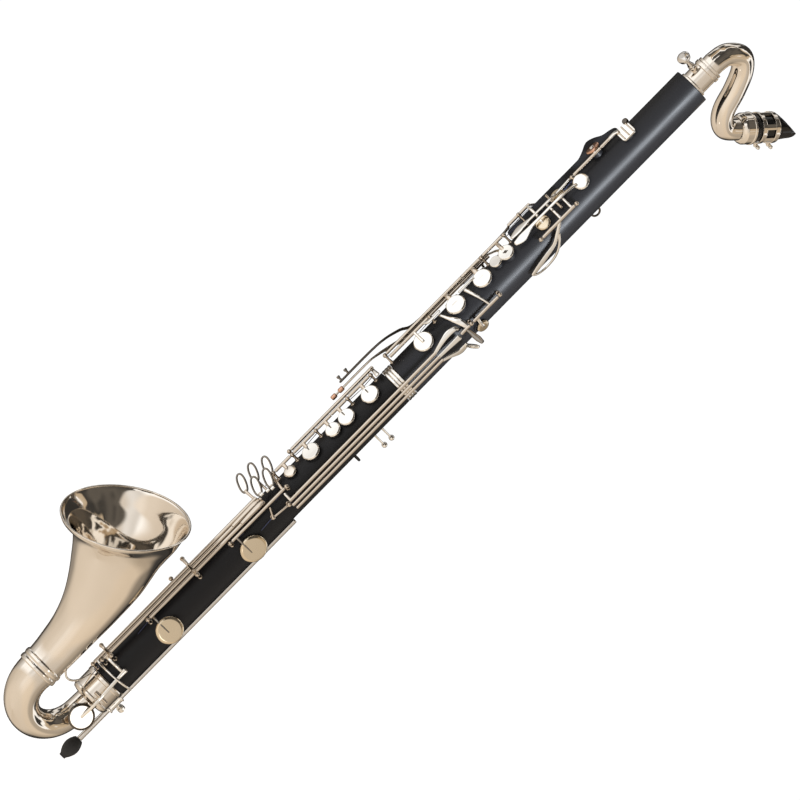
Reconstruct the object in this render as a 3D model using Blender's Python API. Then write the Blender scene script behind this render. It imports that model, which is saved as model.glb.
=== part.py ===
"""Bass clarinet in playing posture: body joints, neck, mouthpiece, metal bow and bell, keywork.

Frame: the bore axis is +Z, the origin sits on it at the seam between the two body joints, the
player faces -Y, so the bell opens forward (-Y), and +X is the player's left.
A place on the body is (z, angle, radius): z along the bore, the angle in degrees round it from
the front towards the player's left, the radius from its axis. Lengths are in millimetres.
"""
import math

import bmesh
import bpy
from mathutils import Matrix, Vector

MM = 0.001
GAP = 0.3  # clearance between touching pieces

# Body
BODY_R = 19.5
BORE_R = 11.8
BODY_TOP = 408.5
BODY_BOTTOM = -408.0
RING_HALF = 5.2  # half the height of the metal ring at the seam
TENON_R = 15.0
TENON_LENGTH = 22.0
SOCKET_R = 16.3
CORK_WALL = 0.7
SEAT_R = 21.2  # top of the tone-hole seats
DRILL_R = 5.0
BODY_SIDES = 24

# Neck
NECK_R = 11.4
NECK_WALL = 1.3
RECEIVER_R = 13.2
RECEIVER_TOP = 431.0
MOUTH_TILT = 39.5  # mouthpiece axis above the horizontal, degrees
MOUTH_BASE = (81.7, 410.4)  # y and z where the neck enters the mouthpiece socket
SOCKET_LENGTH = 17.5
MOUTH_R = 14.6
MOUTH_LENGTH = 71.0  # socket mouth plane to tip is this less SOCKET_LENGTH
TABLE = (-9.9, -6.0)  # height of the reed table at its heel and at the tip
TABLE_HEEL = 25.0
LIGATURE_FROM = 24.5
LIGATURE_TO = 49.0

NECK_PATH = (  # y, z
    (0.0, BODY_TOP - 11.0),
    (0.0, 432.0),
    (0.2, 442.0),
    (4.5, 454.5),
    (19.5, 463.3),
    (33.5, 455.0),
    (44.5, 436.5),
    (52.5, 417.0),
    (61.5, 407.0),
    (72.3, 404.2),
    (83.4, 411.5),
)

# Bell and bow
FERRULE_BOTTOM = -436.0
BOW_Z = -442.7
BOW_START_Y = -1.5
BOW_END_Y = -75.6
BOW_LEG = 9.3  # straight length above the bend
BOW_DROP = 35.5
BOW_R = (12.0, 20.0)  # outer radius at the body and at the bell
BELL_WALL = 1.2
BELL_PATH = (  # y, z, outer radius
    (-75.6, -442.4, 20.4),
    (-75.6, -433.0, 20.6),
    (-76.6, -417.0, 21.7),
    (-79.6, -391.2, 24.3),
    (-85.9, -363.9, 29.8),
    (-97.5, -333.9, 38.2),
    (-112.1, -307.4, 45.5),
    (-123.2, -290.4, 55.5),
    (-132.7, -279.9, 64.5),
)

# Floor peg, behind the body
PEG_Y = 28.8
PEG_R = 3.0
PEG_TOP = -168.0
PEG_FOOT = -470.0
TIP_R = 8.2
TIP_LENGTH = 24.0

# Tone holes, posts and rail
CLOSED = SEAT_R + GAP  # base of a cup that stands shut
STANDS_OPEN = 5.5  # degrees that an open-standing cup is lifted by
UPPER_SEATS = (  # z, angle, seat radius
    (330.0, 9.0, 6.0),
    (264.6, 17.0, 6.0),
    (239.0, -8.0, 5.5),
    (209.7, 21.0, 5.5),
    (163.7, 10.0, 6.5),
    (150.0, 6.5, 4.5),
    (129.4, 13.4, 7.0),
    (93.0, 11.5, 7.5),
    (93.0, 104.0, 5.0),
    (45.0, 17.0, 8.5),
    (223.0, -80.0, 5.0),
    (164.0, -82.0, 5.0),
    (136.0, -102.0, 5.0),
    (296.0, -24.0, 6.0),
)
LOWER_SEATS = (
    (-28.4, 16.0, 7.5),
    (-60.3, 13.4, 7.0),
    (-78.4, 11.0, 6.5),
    (-108.8, 9.5, 7.5),
    (-137.0, 5.0, 5.0),
    (-215.6, 79.0, 11.5),
    (-330.0, 71.0, 11.0),
)
VENT_SEAT = (296.0, -24.0, 26.2)  # z, angle, height of the raised seat beside the rail
POST_BASE = 1.9
POST_HEAD = 2.1
UPPER_POSTS = (  # z, angle, radius of the rod it holds
    (246.0, 48.0, 26.0),
    (196.5, 48.0, 26.0),
    (130.0, 68.0, 26.0),
    (90.3, 68.0, 26.0),
    (143.2, -30.0, 29.0),
    (9.0, -30.0, 29.0),
    (66.5, -14.0, 27.0),
    (174.5, -30.0, 29.0),
    (261.2, -7.0, 25.0),
)
LOWER_POSTS = (
    (-14.6, -18.0, 27.5),
    (-47.0, -18.0, 27.5),
    (-91.0, -18.0, 27.5),
    (-124.0, -18.0, 27.5),
    (-150.0, 31.0, 27.0),
    (-228.0, 31.0, 27.0),
    (-337.5, 20.0, 27.0),
    (-160.5, 62.0, 26.0),
)
STUD = (-82.0, 180.0, 35.0)  # z, angle and end of the stud behind the lower joint
RAIL_ANGLE = -50.0
RAIL_HALF = 4.2
RAIL_OUTLINE = (  # z, radius
    (178.0, 17.0),
    (178.0, 27.0),
    (181.0, 28.5),
    (281.0, 28.5),
    (288.0, 31.5),
    (296.0, 35.0),
    (304.0, 33.0),
    (312.0, 28.5),
    (323.0, 26.5),
    (327.0, 24.0),
    (327.0, 17.0),
)

SIDE_KEYS = (  # number, touch angle and radius, lever angle, tube low, high and radius, z of the end
    (1, -38.0, 42.2, -46.0, 184.0, 214.0, 32.4, -28.4),
    (2, -49.0, 42.2, -56.0, 184.0, 214.0, 32.4, -38.2),
    (3, -37.0, 36.3, -66.0, 110.0, 150.0, 29.5, -45.0),
    (4, -48.0, 36.3, -76.0, 110.0, 150.0, 29.5, -54.9),
)

SIDE_PADS = {  # side key number: the arm's stations, then the cup's z, angle, radius and height
    1: (((211.0, -41.0, 32.6, 3.0, 1.8), (211.0, -25.0, 29.0, 2.8, 1.8), (211.0, -12.0, 25.0, 2.8, 1.8),
         (210.5, 2.0, 23.4, 2.8, 1.6), (209.7, 20.0, 23.6, 3.4, 1.8)), (209.7, 21.0, 7.8, 2.2)),
    2: (((212.5, -51.0, 32.6, 3.0, 1.8), (220.0, -66.0, 28.5, 2.8, 1.8), (223.0, -80.0, 24.4, 3.2, 1.8)),
        (223.0, -80.0, 7.0, 2.4)),
    3: (((148.0, -66.0, 29.8, 3.0, 1.8), (158.0, -72.0, 27.0, 2.8, 1.8), (164.0, -82.0, 24.4, 3.2, 1.8)),
        (164.0, -82.0, 7.0, 2.4)),
    4: (((140.0, -76.0, 29.8, 3.0, 1.8), (138.0, -90.0, 27.0, 2.8, 1.8), (136.0, -102.0, 24.4, 3.2, 1.8)),
        (136.0, -102.0, 7.0, 2.4)),
}

NICKEL = (0.78, 0.74, 0.68, 1.0)
SILVER = (0.82, 0.82, 0.80, 1.0)
EBONITE = (0.018, 0.018, 0.02, 1.0)
CORK = (0.55, 0.38, 0.22, 1.0)
CANE = (0.72, 0.58, 0.33, 1.0)
RUBBER = (0.02, 0.02, 0.02, 1.0)
ROSE = (0.72, 0.42, 0.30, 1.0)

TOUCH_FACING = 25.0  # the way the right little finger's touches face, degrees round the bore
RADIAL = "radial"  # a strip's flat side faces away from the bore


def clear_scene():
    for obj in list(bpy.data.objects):
        bpy.data.objects.remove(obj, do_unlink=True)


def material(name, color, metallic, roughness):
    found = bpy.data.materials.get(name)
    if found:
        return found
    made = bpy.data.materials.new(name)
    made.use_nodes = True
    shader = made.node_tree.nodes["Principled BSDF"]
    shader.inputs["Base Color"].default_value = color
    shader.inputs["Metallic"].default_value = metallic
    shader.inputs["Roughness"].default_value = roughness
    return made


def nickel():
    return material("nickel", NICKEL, 1.0, 0.2)


def silver():
    return material("silver", SILVER, 1.0, 0.15)


def ebonite():
    return material("ebonite", EBONITE, 0.0, 0.4)


def at(z, angle, radius):
    """The point at height z, this angle round the bore and this far from its axis, in metres."""
    turn = math.radians(angle)
    return Vector((radius * math.sin(turn), -radius * math.cos(turn), z)) * MM


def outward(angle):
    turn = math.radians(angle)
    return Vector((math.sin(turn), -math.cos(turn), 0.0))


def sideways(angle):
    turn = math.radians(angle)
    return Vector((math.cos(turn), math.sin(turn), 0.0))


def yz(y, z):
    """A point in the plane of symmetry, in metres."""
    return Vector((0.0, y, z)) * MM


def skin(rings, close_ends=True):
    """A bmesh of quads between rings of points, with the two ends capped or joined to each other."""
    made = bmesh.new()
    loops = [[made.verts.new(point) for point in ring] for ring in rings]
    count = len(loops[0])
    pairs = list(zip(loops, loops[1:]))
    if not close_ends:
        pairs.append((loops[-1], loops[0]))
    for low, high in pairs:
        for i in range(count):
            j = (i + 1) % count
            made.faces.new((low[i], low[j], high[j], high[i]))
    if close_ends:
        made.faces.new(reversed(loops[0]))
        made.faces.new(loops[-1])
    bmesh.ops.recalc_face_normals(made, faces=made.faces)
    return made


def mesh_object(name, made, finish, collection=None):
    mesh = bpy.data.meshes.new(name)
    made.to_mesh(mesh)
    made.free()
    mesh.materials.append(finish)
    mesh.shade_smooth()
    mesh.set_sharp_from_angle(angle=math.radians(35))
    obj = bpy.data.objects.new(name, mesh)
    (collection or bpy.context.scene.collection).objects.link(obj)
    return obj


def circle(center, u, v, radius, sides, squash=1.0):
    step = 2 * math.pi / sides
    return [
        center + (u * math.cos(turn) + v * math.sin(turn) * squash) * radius * MM
        for turn in [(i + 0.5) * step for i in range(sides)]
    ]


def frame_of(axis):
    """Two unit vectors square to the axis and to each other."""
    axis = axis.normalized()
    helper = Vector((0, 0, 1)) if abs(axis.z) < 0.9 else Vector((0, 1, 0))
    u = helper.cross(axis).normalized()
    return u, axis.cross(u)


def turned(start, axis, profile, sides):
    """A solid turned about an axis: the profile is (distance along it, radius), first to last."""
    axis = axis.normalized()
    u, v = frame_of(axis)
    return skin([circle(start + axis * along * MM, u, v, radius, sides) for along, radius in profile])


def turned_ring(start, axis, profile, sides):
    """The same with a hole: the profile goes up the outside, down the inside, and joins up."""
    axis = axis.normalized()
    u, v = frame_of(axis)
    rings = [circle(start + axis * along * MM, u, v, radius, sides) for along, radius in profile]
    return skin(rings, close_ends=False)


def tangents(points):
    ends = [points[0]] + list(points) + [points[-1]]
    return [(after - before).normalized() for before, after in zip(ends, ends[2:])]


def pipe(path, outer, inner, sides):
    """A hollow tube along points in the plane of symmetry, with its own radius at each point."""
    across = Vector((1, 0, 0))
    outside = []
    inside = []
    for point, along, big, small in zip(path, tangents(path), outer, inner):
        other = along.cross(across)
        outside.append(circle(point, across, other, big, sides))
        inside.append(circle(point, across, other, small, sides))
    return skin(outside + inside[::-1], close_ends=False)


def strip(points, widths, thicknesses, up=RADIAL, sides=8):
    """A solid bar through points, each with a width across and a thickness along the up side."""
    rings = []
    for point, along, width, thick in zip(points, tangents(points), widths, thicknesses):
        flat = Vector((point.x, point.y, 0.0)) if up == RADIAL else Vector(up)
        across = along.cross(flat)
        across.normalize()
        normal = across.cross(along)
        rings.append(circle(point, across, normal, width / 2, sides, thick / width))
    return skin(rings)


def between(before, start, end, after, t):
    """The Catmull-Rom value a share t of the way from start to end."""
    linear = (end - before) * t
    square = (2 * before - 5 * start + 4 * end - after) * t**2
    cube = (3 * start - before - 3 * end + after) * t**3
    return 0.5 * (2 * start + linear + square + cube)


def smooth(points, per_span):
    """Catmull-Rom points through a list of number tuples."""
    ends = [points[0]] + list(points) + [points[-1]]
    found = []
    for a, b, c, d in zip(ends, ends[1:], ends[2:], ends[3:]):
        for i in range(per_span):
            t = i / per_span
            found.append(tuple(between(*four, t) for four in zip(a, b, c, d)))
    found.append(points[-1])
    return found


# --- Pieces of a key, each a bmesh that a union then joins --------------------------------


def tube(z_low, z_high, angle, radius, thick=1.7):
    """A hinge tube parallel to the bore."""
    return turned(at(z_low, angle, radius), Vector((0, 0, 1)), ((0, thick), (z_high - z_low, thick)), 8)


def barrel(z, angle, radius, from_side, to_side, thick=1.5):
    """A hinge tube square to the bore, from and to a distance sideways."""
    side = sideways(angle)
    start = at(z, angle, radius) + side * from_side * MM
    return turned(start, side, ((0, thick), (to_side - from_side, thick)), 8)


def cup(z, angle, base, radius, height=3.2, sides=14):
    """A pad cup whose flat base faces the bore."""
    profile = ((0, radius - 0.4), (height * 0.6, radius), (height, radius * 0.8))
    return turned(at(z, angle, base), outward(angle), profile, sides)


def arm(stations, per_span=2, sides=6):
    """A curved bar on the body: each station is (z, angle, radius, width, thickness)."""
    dense = smooth(stations, per_span)
    points = [at(*station[:3]) for station in dense]
    return strip(points, [s[3] for s in dense], [s[4] for s in dense], sides=sides)


def paddle(z, angle, radius, length=22.5, width=10.0, tilt=22.0, thick=2.2):
    """An oval finger touch centred at a place. It faces TOUCH_FACING and its far end is tilted up."""
    middle = at(z, angle, radius)
    turn = math.radians(tilt)
    along = sideways(TOUCH_FACING) * -math.cos(turn) + Vector((0, 0, math.sin(turn)))
    shares = (-0.5, -0.36, 0.0, 0.36, 0.5)
    wide = (0.35, 0.85, 1.0, 0.85, 0.35)
    points = [middle + along * length * share * MM for share in shares]
    return strip(points, [width * w for w in wide], [thick] * 5, up=outward(TOUCH_FACING), sides=8)


def reach(start, z, angle, radius, width=3.2):
    """A bar from a hinge to the near end of the oval touch at this place."""
    middle = at(z, angle, radius)
    root = middle + (sideways(TOUCH_FACING) * 0.93 + Vector((0, 0, -0.37))) * 8.6 * MM
    points = [start, (start + root) / 2, root]
    return strip(points, [width] * 3, [1.8] * 3, up=outward(TOUCH_FACING), sides=6)


def join(name, pieces, finish, cuts=()):
    """One object: the first bmesh, with the others united to it and the cuts taken out of it."""
    base = mesh_object(name, pieces[0], finish)
    for label, operation, others in (("join", "UNION", pieces[1:]), ("cut", "DIFFERENCE", cuts)):
        if not others:
            continue
        helpers = bpy.data.collections.new(f"{name}_{label}")
        bpy.context.scene.collection.children.link(helpers)
        helpers.hide_render = True
        for index, piece in enumerate(others):
            helper = mesh_object(f"{name}_{label}_{index}", piece, finish, helpers)
            helper.hide_render = True
            helper.display_type = "WIRE"
        modifier = base.modifiers.new(label, "BOOLEAN")
        modifier.operation = operation
        modifier.solver = "EXACT"
        modifier.operand_type = "COLLECTION"
        modifier.collection = helpers
    return base


def pivot(obj, center):
    """Moves an object's origin to its joint's axis, leaving its shape in place."""
    obj.data.transform(Matrix.Translation(-center))
    obj.location = center


def key(name, hinge, pieces, stands_open=0.0, axis=(0, 0, 1)):
    """A key with its origin on the hinge axis, a place (z, angle, radius).

    Its pieces are given with the cup shut; stands_open lifts them about the hinge, in degrees.
    """
    center = at(*hinge)
    lift = Matrix.Rotation(math.radians(-stands_open), 3, Vector(axis))
    for piece in pieces:
        bmesh.ops.rotate(piece, cent=center, matrix=lift, verts=piece.verts)
    pivot(join(name, pieces, nickel()), center)


# --- Body -----------------------------------------------------------------------------------


def seat(z, angle, radius):
    profile = ((0, radius + 1.2), (SEAT_R - BODY_R + 3, radius))
    return turned(at(z, angle, BODY_R - 3), outward(angle), profile, 8)


def drill(z, angle, radius):
    size = min(radius - 1.0, DRILL_R + (radius - 6) * 0.8)
    return turned(at(z, angle, BORE_R - 5), outward(angle), ((0, size), (20, size)), 8)


def post(z, angle, radius):
    """A pivot post screwed into the body: a short stem with a round head at the rod."""
    length = radius - BODY_R + 2
    foot = ((0, POST_BASE), (2.6, POST_BASE), (3.2, 1.2))
    head = ((length - 2.4, 1.2), (length, POST_HEAD), (length + 2, 1.4))
    return turned(at(z, angle, BODY_R - 2), outward(angle), foot + head, 6)


def rail():
    """The raised rail down the right front of the upper joint, with its hump beside the lower vent."""
    side = sideways(RAIL_ANGLE)
    rings = []
    for offset in (-RAIL_HALF, RAIL_HALF):
        rings.append([at(z, RAIL_ANGLE, radius) + side * offset * MM for z, radius in RAIL_OUTLINE])
    return skin(rings)


def vent_seat():
    z, angle, top = VENT_SEAT
    return turned(at(z, angle, 14.0), outward(angle), ((0, 6.4), (top - 14.0, 5.4)), 10)


def upper_joint():
    ring_top = RING_HALF + GAP
    profile = (
        (-TENON_LENGTH, TENON_R), (ring_top, TENON_R), (ring_top, BODY_R), (BODY_TOP - 2, BODY_R),
        (BODY_TOP, BODY_R - 1.5), (BODY_TOP, RECEIVER_R + GAP), (BODY_TOP - 12, RECEIVER_R + GAP),
        (BODY_TOP - 12, BORE_R), (-TENON_LENGTH, BORE_R),
    )
    body = turned_ring(Vector(), Vector((0, 0, 1)), profile, BODY_SIDES)
    pieces = [body, rail(), vent_seat()] + [seat(*s) for s in UPPER_SEATS] + [post(*p) for p in UPPER_POSTS]
    join("upper_joint", pieces, ebonite(), [drill(*s) for s in UPPER_SEATS])


def lower_joint():
    top = -RING_HALF - GAP
    floor = -TENON_LENGTH - 1.0
    profile = (
        (BODY_BOTTOM, BODY_R), (top, BODY_R), (top, SOCKET_R), (floor, SOCKET_R),
        (floor, BORE_R), (BODY_BOTTOM, BORE_R),
    )
    body = turned_ring(Vector(), Vector((0, 0, 1)), profile, BODY_SIDES)
    z, angle, end = STUD
    stud = turned(at(z, angle, BODY_R - 2), outward(angle), ((0, 1.7), (end - BODY_R + 2, 1.4)), 8)
    pieces = [body, stud] + [seat(*s) for s in LOWER_SEATS] + [post(*p) for p in LOWER_POSTS]
    join("lower_joint", pieces, ebonite(), [drill(*s) for s in LOWER_SEATS])


def seam():
    up = Vector((0, 0, 1))
    outer = BODY_R + 0.3
    ring = ((-RING_HALF, outer), (RING_HALF, outer), (RING_HALF, SOCKET_R), (-RING_HALF, SOCKET_R))
    mesh_object("middle_ring", turned_ring(Vector(), up, ring, BODY_SIDES), nickel())
    cork_in = TENON_R + 0.2
    cork = ((-19.0, cork_in + CORK_WALL), (-7.0, cork_in + CORK_WALL), (-7.0, cork_in), (-19.0, cork_in))
    finish = material("cork", CORK, 0.0, 0.9)
    mesh_object("tenon_cork", turned_ring(Vector(), up, cork, BODY_SIDES), finish)


# --- Neck and mouthpiece -----------------------------------------------------------------------


def mouth_axis():
    turn = math.radians(MOUTH_TILT)
    return Vector((0, math.cos(turn), math.sin(turn)))


def mouth_point(along, above=0.0, aside=0.0):
    """A point on the mouthpiece: distance along its axis, above it and to the player's left."""
    turn = math.radians(MOUTH_TILT)
    up = Vector((0, -math.sin(turn), math.cos(turn)))
    return yz(*MOUTH_BASE) + (mouth_axis() * along + up * above + Vector((aside, 0, 0))) * MM


def neck():
    up = Vector((0, 0, 1))
    low = BODY_TOP - 11.5
    wide = RECEIVER_R
    slot = NECK_R + GAP
    profile = (
        (low, wide), (RECEIVER_TOP - 4, wide), (RECEIVER_TOP - 3.5, wide + 1), (RECEIVER_TOP, wide + 1),
        (RECEIVER_TOP, slot), (low, slot),
    )
    boss = turned(yz(-slot - 0.6, 421.0), Vector((0, -1, 0)), ((0, 3.4), (5.5, 3.0)), 10)
    hole = turned(yz(-8, 421.0), Vector((0, -1, 0)), ((0, 1.75), (14, 1.75)), 10)
    join("neck_receiver", [turned_ring(Vector(), up, profile, 24), boss], nickel(), [hole])

    path = [yz(*p) for p in smooth(NECK_PATH, 2)]
    outer = [NECK_R] * len(path)
    inner = [NECK_R - NECK_WALL] * len(path)
    join("neck_tube", [pipe(path, outer, inner, 14)], nickel())

    axis = mouth_axis()
    bore = MOUTH_R - 2.2
    socket = (
        (2.5, NECK_R + 0.4), (4.5, MOUTH_R - 0.6), (7.5, MOUTH_R + 0.7), (SOCKET_LENGTH, MOUTH_R + 0.7),
        (SOCKET_LENGTH, bore + 0.8), (4.8, bore + 0.8), (4.8, NECK_R + GAP), (2.5, NECK_R + GAP),
    )
    ring = turned_ring(yz(*MOUTH_BASE), axis, socket, 20)
    mesh_object("mouthpiece_socket", ring, nickel())


def neck_screw():
    start = yz(-NECK_R - 0.6, 421.0)
    stem = turned(start, Vector((0, -1, 0)), ((0, 1.5), (7, 1.5), (7.5, 2.9), (17, 2.0)), 10)
    knob = turned(start + yz(-16.5, 0), Vector((0, -1, 0)), ((0, 3.0), (2, 6.6), (7, 7.6), (9.5, 5.0)), 12)
    pivot(join("neck_screw", [stem, knob], nickel()), start)


def mouthpiece():
    axis = mouth_axis()
    start = SOCKET_LENGTH + GAP
    bore = MOUTH_R - 2.2
    tenon = (
        (6.0, bore - 0.9), (start, bore - 0.9), (start, MOUTH_R), (start + 3.5, MOUTH_R), (start + 4, 13.6),
        (49.0, 13.0), (MOUTH_LENGTH + 2, 12.2),
    )
    body = turned(yz(*MOUTH_BASE), axis, tenon, 20)
    beak = bmesh.new()
    outline = ((47.0, 13.6), (MOUTH_LENGTH, -5.0), (MOUTH_LENGTH + 8, -5.0), (MOUTH_LENGTH + 8, 20),
               (47.0, 20))
    wedge(beak, outline, 18)
    table = bmesh.new()
    low = -20.0
    end = MOUTH_LENGTH + 8
    heel = TABLE_HEEL
    wedge(table, ((heel, table_at(heel)), (heel, low), (end, low), (end, table_at(end))), 18)
    bore_cut = turned(yz(*MOUTH_BASE), axis, ((0, 8.0), (40, 7.4), (62, 4.0)), 12)
    join("mouthpiece", [body], ebonite(), [beak, table, bore_cut])
    cork = ((8.0, bore), (15.0, bore), (15.0, bore - 0.7), (8.0, bore - 0.7))
    ring = turned_ring(yz(*MOUTH_BASE), axis, cork, 20)
    mesh_object("mouthpiece_cork", ring, material("cork", CORK, 0.0, 0.9))


def wedge(made, outline, half):
    """A prism across the mouthpiece whose outline is (along, above) points."""
    rings = []
    for side in (-half, half):
        rings.append([made.verts.new(mouth_point(along, above, side)) for along, above in outline])
    low, high = rings
    count = len(outline)
    for i in range(count):
        j = (i + 1) % count
        made.faces.new((low[i], low[j], high[j], high[i]))
    made.faces.new(reversed(low))
    made.faces.new(high)
    bmesh.ops.recalc_face_normals(made, faces=made.faces)


def table_at(along):
    """Height of the reed's table at a distance along the mouthpiece."""
    heel, tip = TABLE
    return heel + (tip - heel) * (along - TABLE_HEEL) / (MOUTH_LENGTH - TABLE_HEEL)


def reed():
    made = bmesh.new()
    heel = 27.5
    tip = MOUTH_LENGTH - 0.5
    outline = (
        (heel, table_at(heel) - GAP), (tip, table_at(tip) - GAP), (tip, table_at(tip) - 0.6),
        (52.0, table_at(52.0) - 2.2), (heel, table_at(heel) - 2.6),
    )
    wedge(made, outline, 6.2)
    mesh_object("reed", made, material("cane", CANE, 0.0, 0.6))


def ligature():
    axis = mouth_axis()
    profile = (
        (LIGATURE_FROM, 15.6), (LIGATURE_TO, 15.0), (LIGATURE_TO, 14.0), (LIGATURE_FROM, 14.2),
    )
    band = turned_ring(yz(*MOUTH_BASE), axis, profile, 20)
    aside = Vector((1, 0, 0))
    below = mouth_point(0, -1) - mouth_point(0, 0)
    screws = (LIGATURE_FROM + 5, LIGATURE_TO - 5)
    lugs = []
    for along in screws:
        for offset in (-4.0, 4.0):
            lugs.append(turned(mouth_point(along, -14.2, offset), below, ((0, 2.4), (5.2, 2.2)), 8))
    cuts = []
    for along in screws:
        cuts.append(turned(mouth_point(along, -17.4, -9), aside, ((0, 1.1), (18, 1.1)), 8))
    for side in (-1, 1):
        aim = aside * side + (mouth_point(0, 1) - mouth_point(0, 0)).normalized() * 0.4
        window = mouth_point((LIGATURE_FROM + LIGATURE_TO) / 2, 0, side * 6)
        cuts.append(turned(window, aim, ((0, 5.0), (16, 5.0)), 8))
    join("ligature", [band] + lugs, nickel(), cuts)
    head_profile = ((0, 2.0), (1.5, 2.6), (5.5, 2.6), (6.5, 1.6))
    for index, along in enumerate(screws, start=1):
        start = mouth_point(along, -17.4, -9.5)
        rod = turned(start, aside, ((0, 0.8), (20, 0.8)), 8)
        head = turned(start + aside * 19 * MM, aside, head_profile, 10)
        pivot(join(f"ligature_screw_{index}", [rod, head], nickel()), start)


# --- Bell, bow, floor peg and fixed fittings ------------------------------------------------------


def bow_points(steps):
    mid = (BOW_START_Y + BOW_END_Y) / 2
    half = (BOW_START_Y - BOW_END_Y) / 2
    turns = [math.pi * i / steps for i in range(steps + 1)]
    arc = [(mid + half * math.cos(t), BOW_Z - BOW_LEG - BOW_DROP * math.sin(t)) for t in turns]
    return arc + [(BOW_END_Y, BOW_Z - 2), (BOW_END_Y, BOW_Z)]


def bell_end():
    up = Vector((0, 0, 1))
    low = FERRULE_BOTTOM
    top = BODY_BOTTOM - GAP
    profile = (
        (low, 15.2), (low + 2, 20.4), (low + 4, 21.0), (top - 3, 20.6), (top, 20.6),
        (top, BORE_R + 0.7), (low, BORE_R + 0.7),
    )
    mesh_object("bell_ferrule", turned_ring(Vector(), up, profile, 24), nickel())

    arc = bow_points(9)
    path = [yz(BOW_START_Y, low - GAP)] + [yz(*p) for p in arc]
    grow = [i / (len(path) - 1) for i in range(len(path))]
    outer = [BOW_R[0] + (BOW_R[1] - BOW_R[0]) * g**1.2 for g in grow]
    inner = [r - BELL_WALL for r in outer]
    tone = turned(at(-450.8, 68.0, 8.0), outward(68.0), ((0, 11.2), (9.4, 10.2)), 14)
    hole = turned(at(-450.8, 68.0, 4.0), outward(68.0), ((0, 8.5), (16, 8.5)), 12)
    bow = pipe(path, outer, inner, 16)
    join("bell_bow", [bow, tone], nickel(), [hole])

    end = yz(BOW_END_Y, BOW_Z)
    wide = BOW_R[1]
    band = ((-4.5, wide + 2.0), (5.0, wide + 2.4), (5.0, wide + 0.9), (-4.5, wide + 0.4))
    mesh_object("bow_ring", turned_ring(end, up, band, 24), nickel())

    path = [yz(y, z) for y, z, r in BELL_PATH]
    outer = [r for y, z, r in BELL_PATH]
    inner = [r - BELL_WALL for r in outer[:-1]] + [outer[-1] - 0.9]
    join("bell", [pipe(path, outer, inner, 20)], nickel())


def bell_brace():
    route = (
        (-21.6, -415.0), (-26.0, -425.5), (-33.0, -432.0), (-41.0, -433.0), (-48.5, -428.0),
        (-53.3, -420.0),
    )
    points = [yz(*p) for p in smooth(route, 2)]
    made = strip(points, [2.0] * len(points), [2.0] * len(points), up=(1, 0, 0), sides=6)
    mesh_object("bell_brace", made, nickel())


def floor_peg():
    down = Vector((0, 0, -1))
    base = turned(yz(BODY_R + 1.4, -422.0), Vector((0, 1, 0)), ((0, 4.6), (8.0, 4.6)), 8)
    sleeve = turned(yz(PEG_Y, -412.0), down, ((0, PEG_R + 1.8), (18, PEG_R + 1.8)), 12)
    bore = turned(yz(PEG_Y, -410.0), down, ((0, PEG_R + GAP), (24, PEG_R + GAP)), 12)
    thread = turned(yz(PEG_Y + 1, -420.5), Vector((0, 1, 0)), ((0, 1.5), (9, 1.5)), 8)
    join("peg_socket", [sleeve, base], nickel(), [bore, thread])
    rod = turned(yz(PEG_Y, PEG_TOP), down, ((0, PEG_R - 0.6), (1, PEG_R), (PEG_TOP - PEG_FOOT, PEG_R)), 12)
    mesh_object("floor_peg", rod, silver())
    tip = ((0, 4.4), (4, 6.4), (10, TIP_R), (18, TIP_R), (TIP_LENGTH, 5.2))
    rubber = turned(yz(PEG_Y, PEG_FOOT - GAP), down, tip, 16)
    mesh_object("peg_tip", rubber, material("rubber", RUBBER, 0.0, 0.7))
    start = yz(PEG_Y + PEG_R + 0.8, -420.5)
    stem = turned(start, Vector((0, 1, 0)), ((0, 1.2), (5, 1.2)), 8)
    knob = turned(start + yz(4.5, 0), Vector((0, 1, 0)), ((0, 3.0), (1, 4.0), (5, 4.0), (6, 3.0)), 10)
    pivot(join("peg_screw", [stem, knob], nickel()), start)


def thumb_rest():
    plate = ((-52.0, 180.0, 21.2, 10.0, 1.6), (-44.0, 180.0, 21.2, 12.0, 1.6),
             (-36.0, 180.0, 21.2, 10.0, 1.6))
    pieces = [arm(plate, 1)]
    for z, root in ((-44.0, -44.0), (-53.9, -50.0)):
        points = [at(root, 180, 21.0), at(z, 180, 26.0), at(z, 180, 42.5)]
        pieces.append(strip(points, [2.4] * 3, [2.4] * 3, up=(0, 0, 1), sides=6))
        pieces.append(ball(at(z, 180, 44.0), 3.0))
    join("thumb_rest", pieces, nickel())


def ball(center, radius, sides=8):
    shares = (-0.92, -0.6, 0.0, 0.6, 0.92)
    profile = [(s * radius, radius * math.sqrt(1 - s * s)) for s in shares]
    return turned(center, Vector((0, 1, 0)), profile, sides)


def strap_ring():
    plate = arm(((246.0, 180.0, 20.9, 7.0, 1.6), (254.8, 180.0, 20.9, 9.0, 1.6),
                (263.0, 180.0, 20.9, 7.0, 1.6)), 1)
    center = at(254.8, 180.0, 27.6)
    rings = []
    for turn in [2 * math.pi * i / 12 for i in range(12)]:
        out = Vector((0, math.cos(turn), math.sin(turn)))
        rings.append(circle(center + out * 6.0 * MM, out, Vector((1, 0, 0)), 1.3, 6))
    join("strap_ring", [plate, skin(rings, close_ends=False)], nickel())


# --- Keys of the upper joint -----------------------------------------------------------------------


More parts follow.
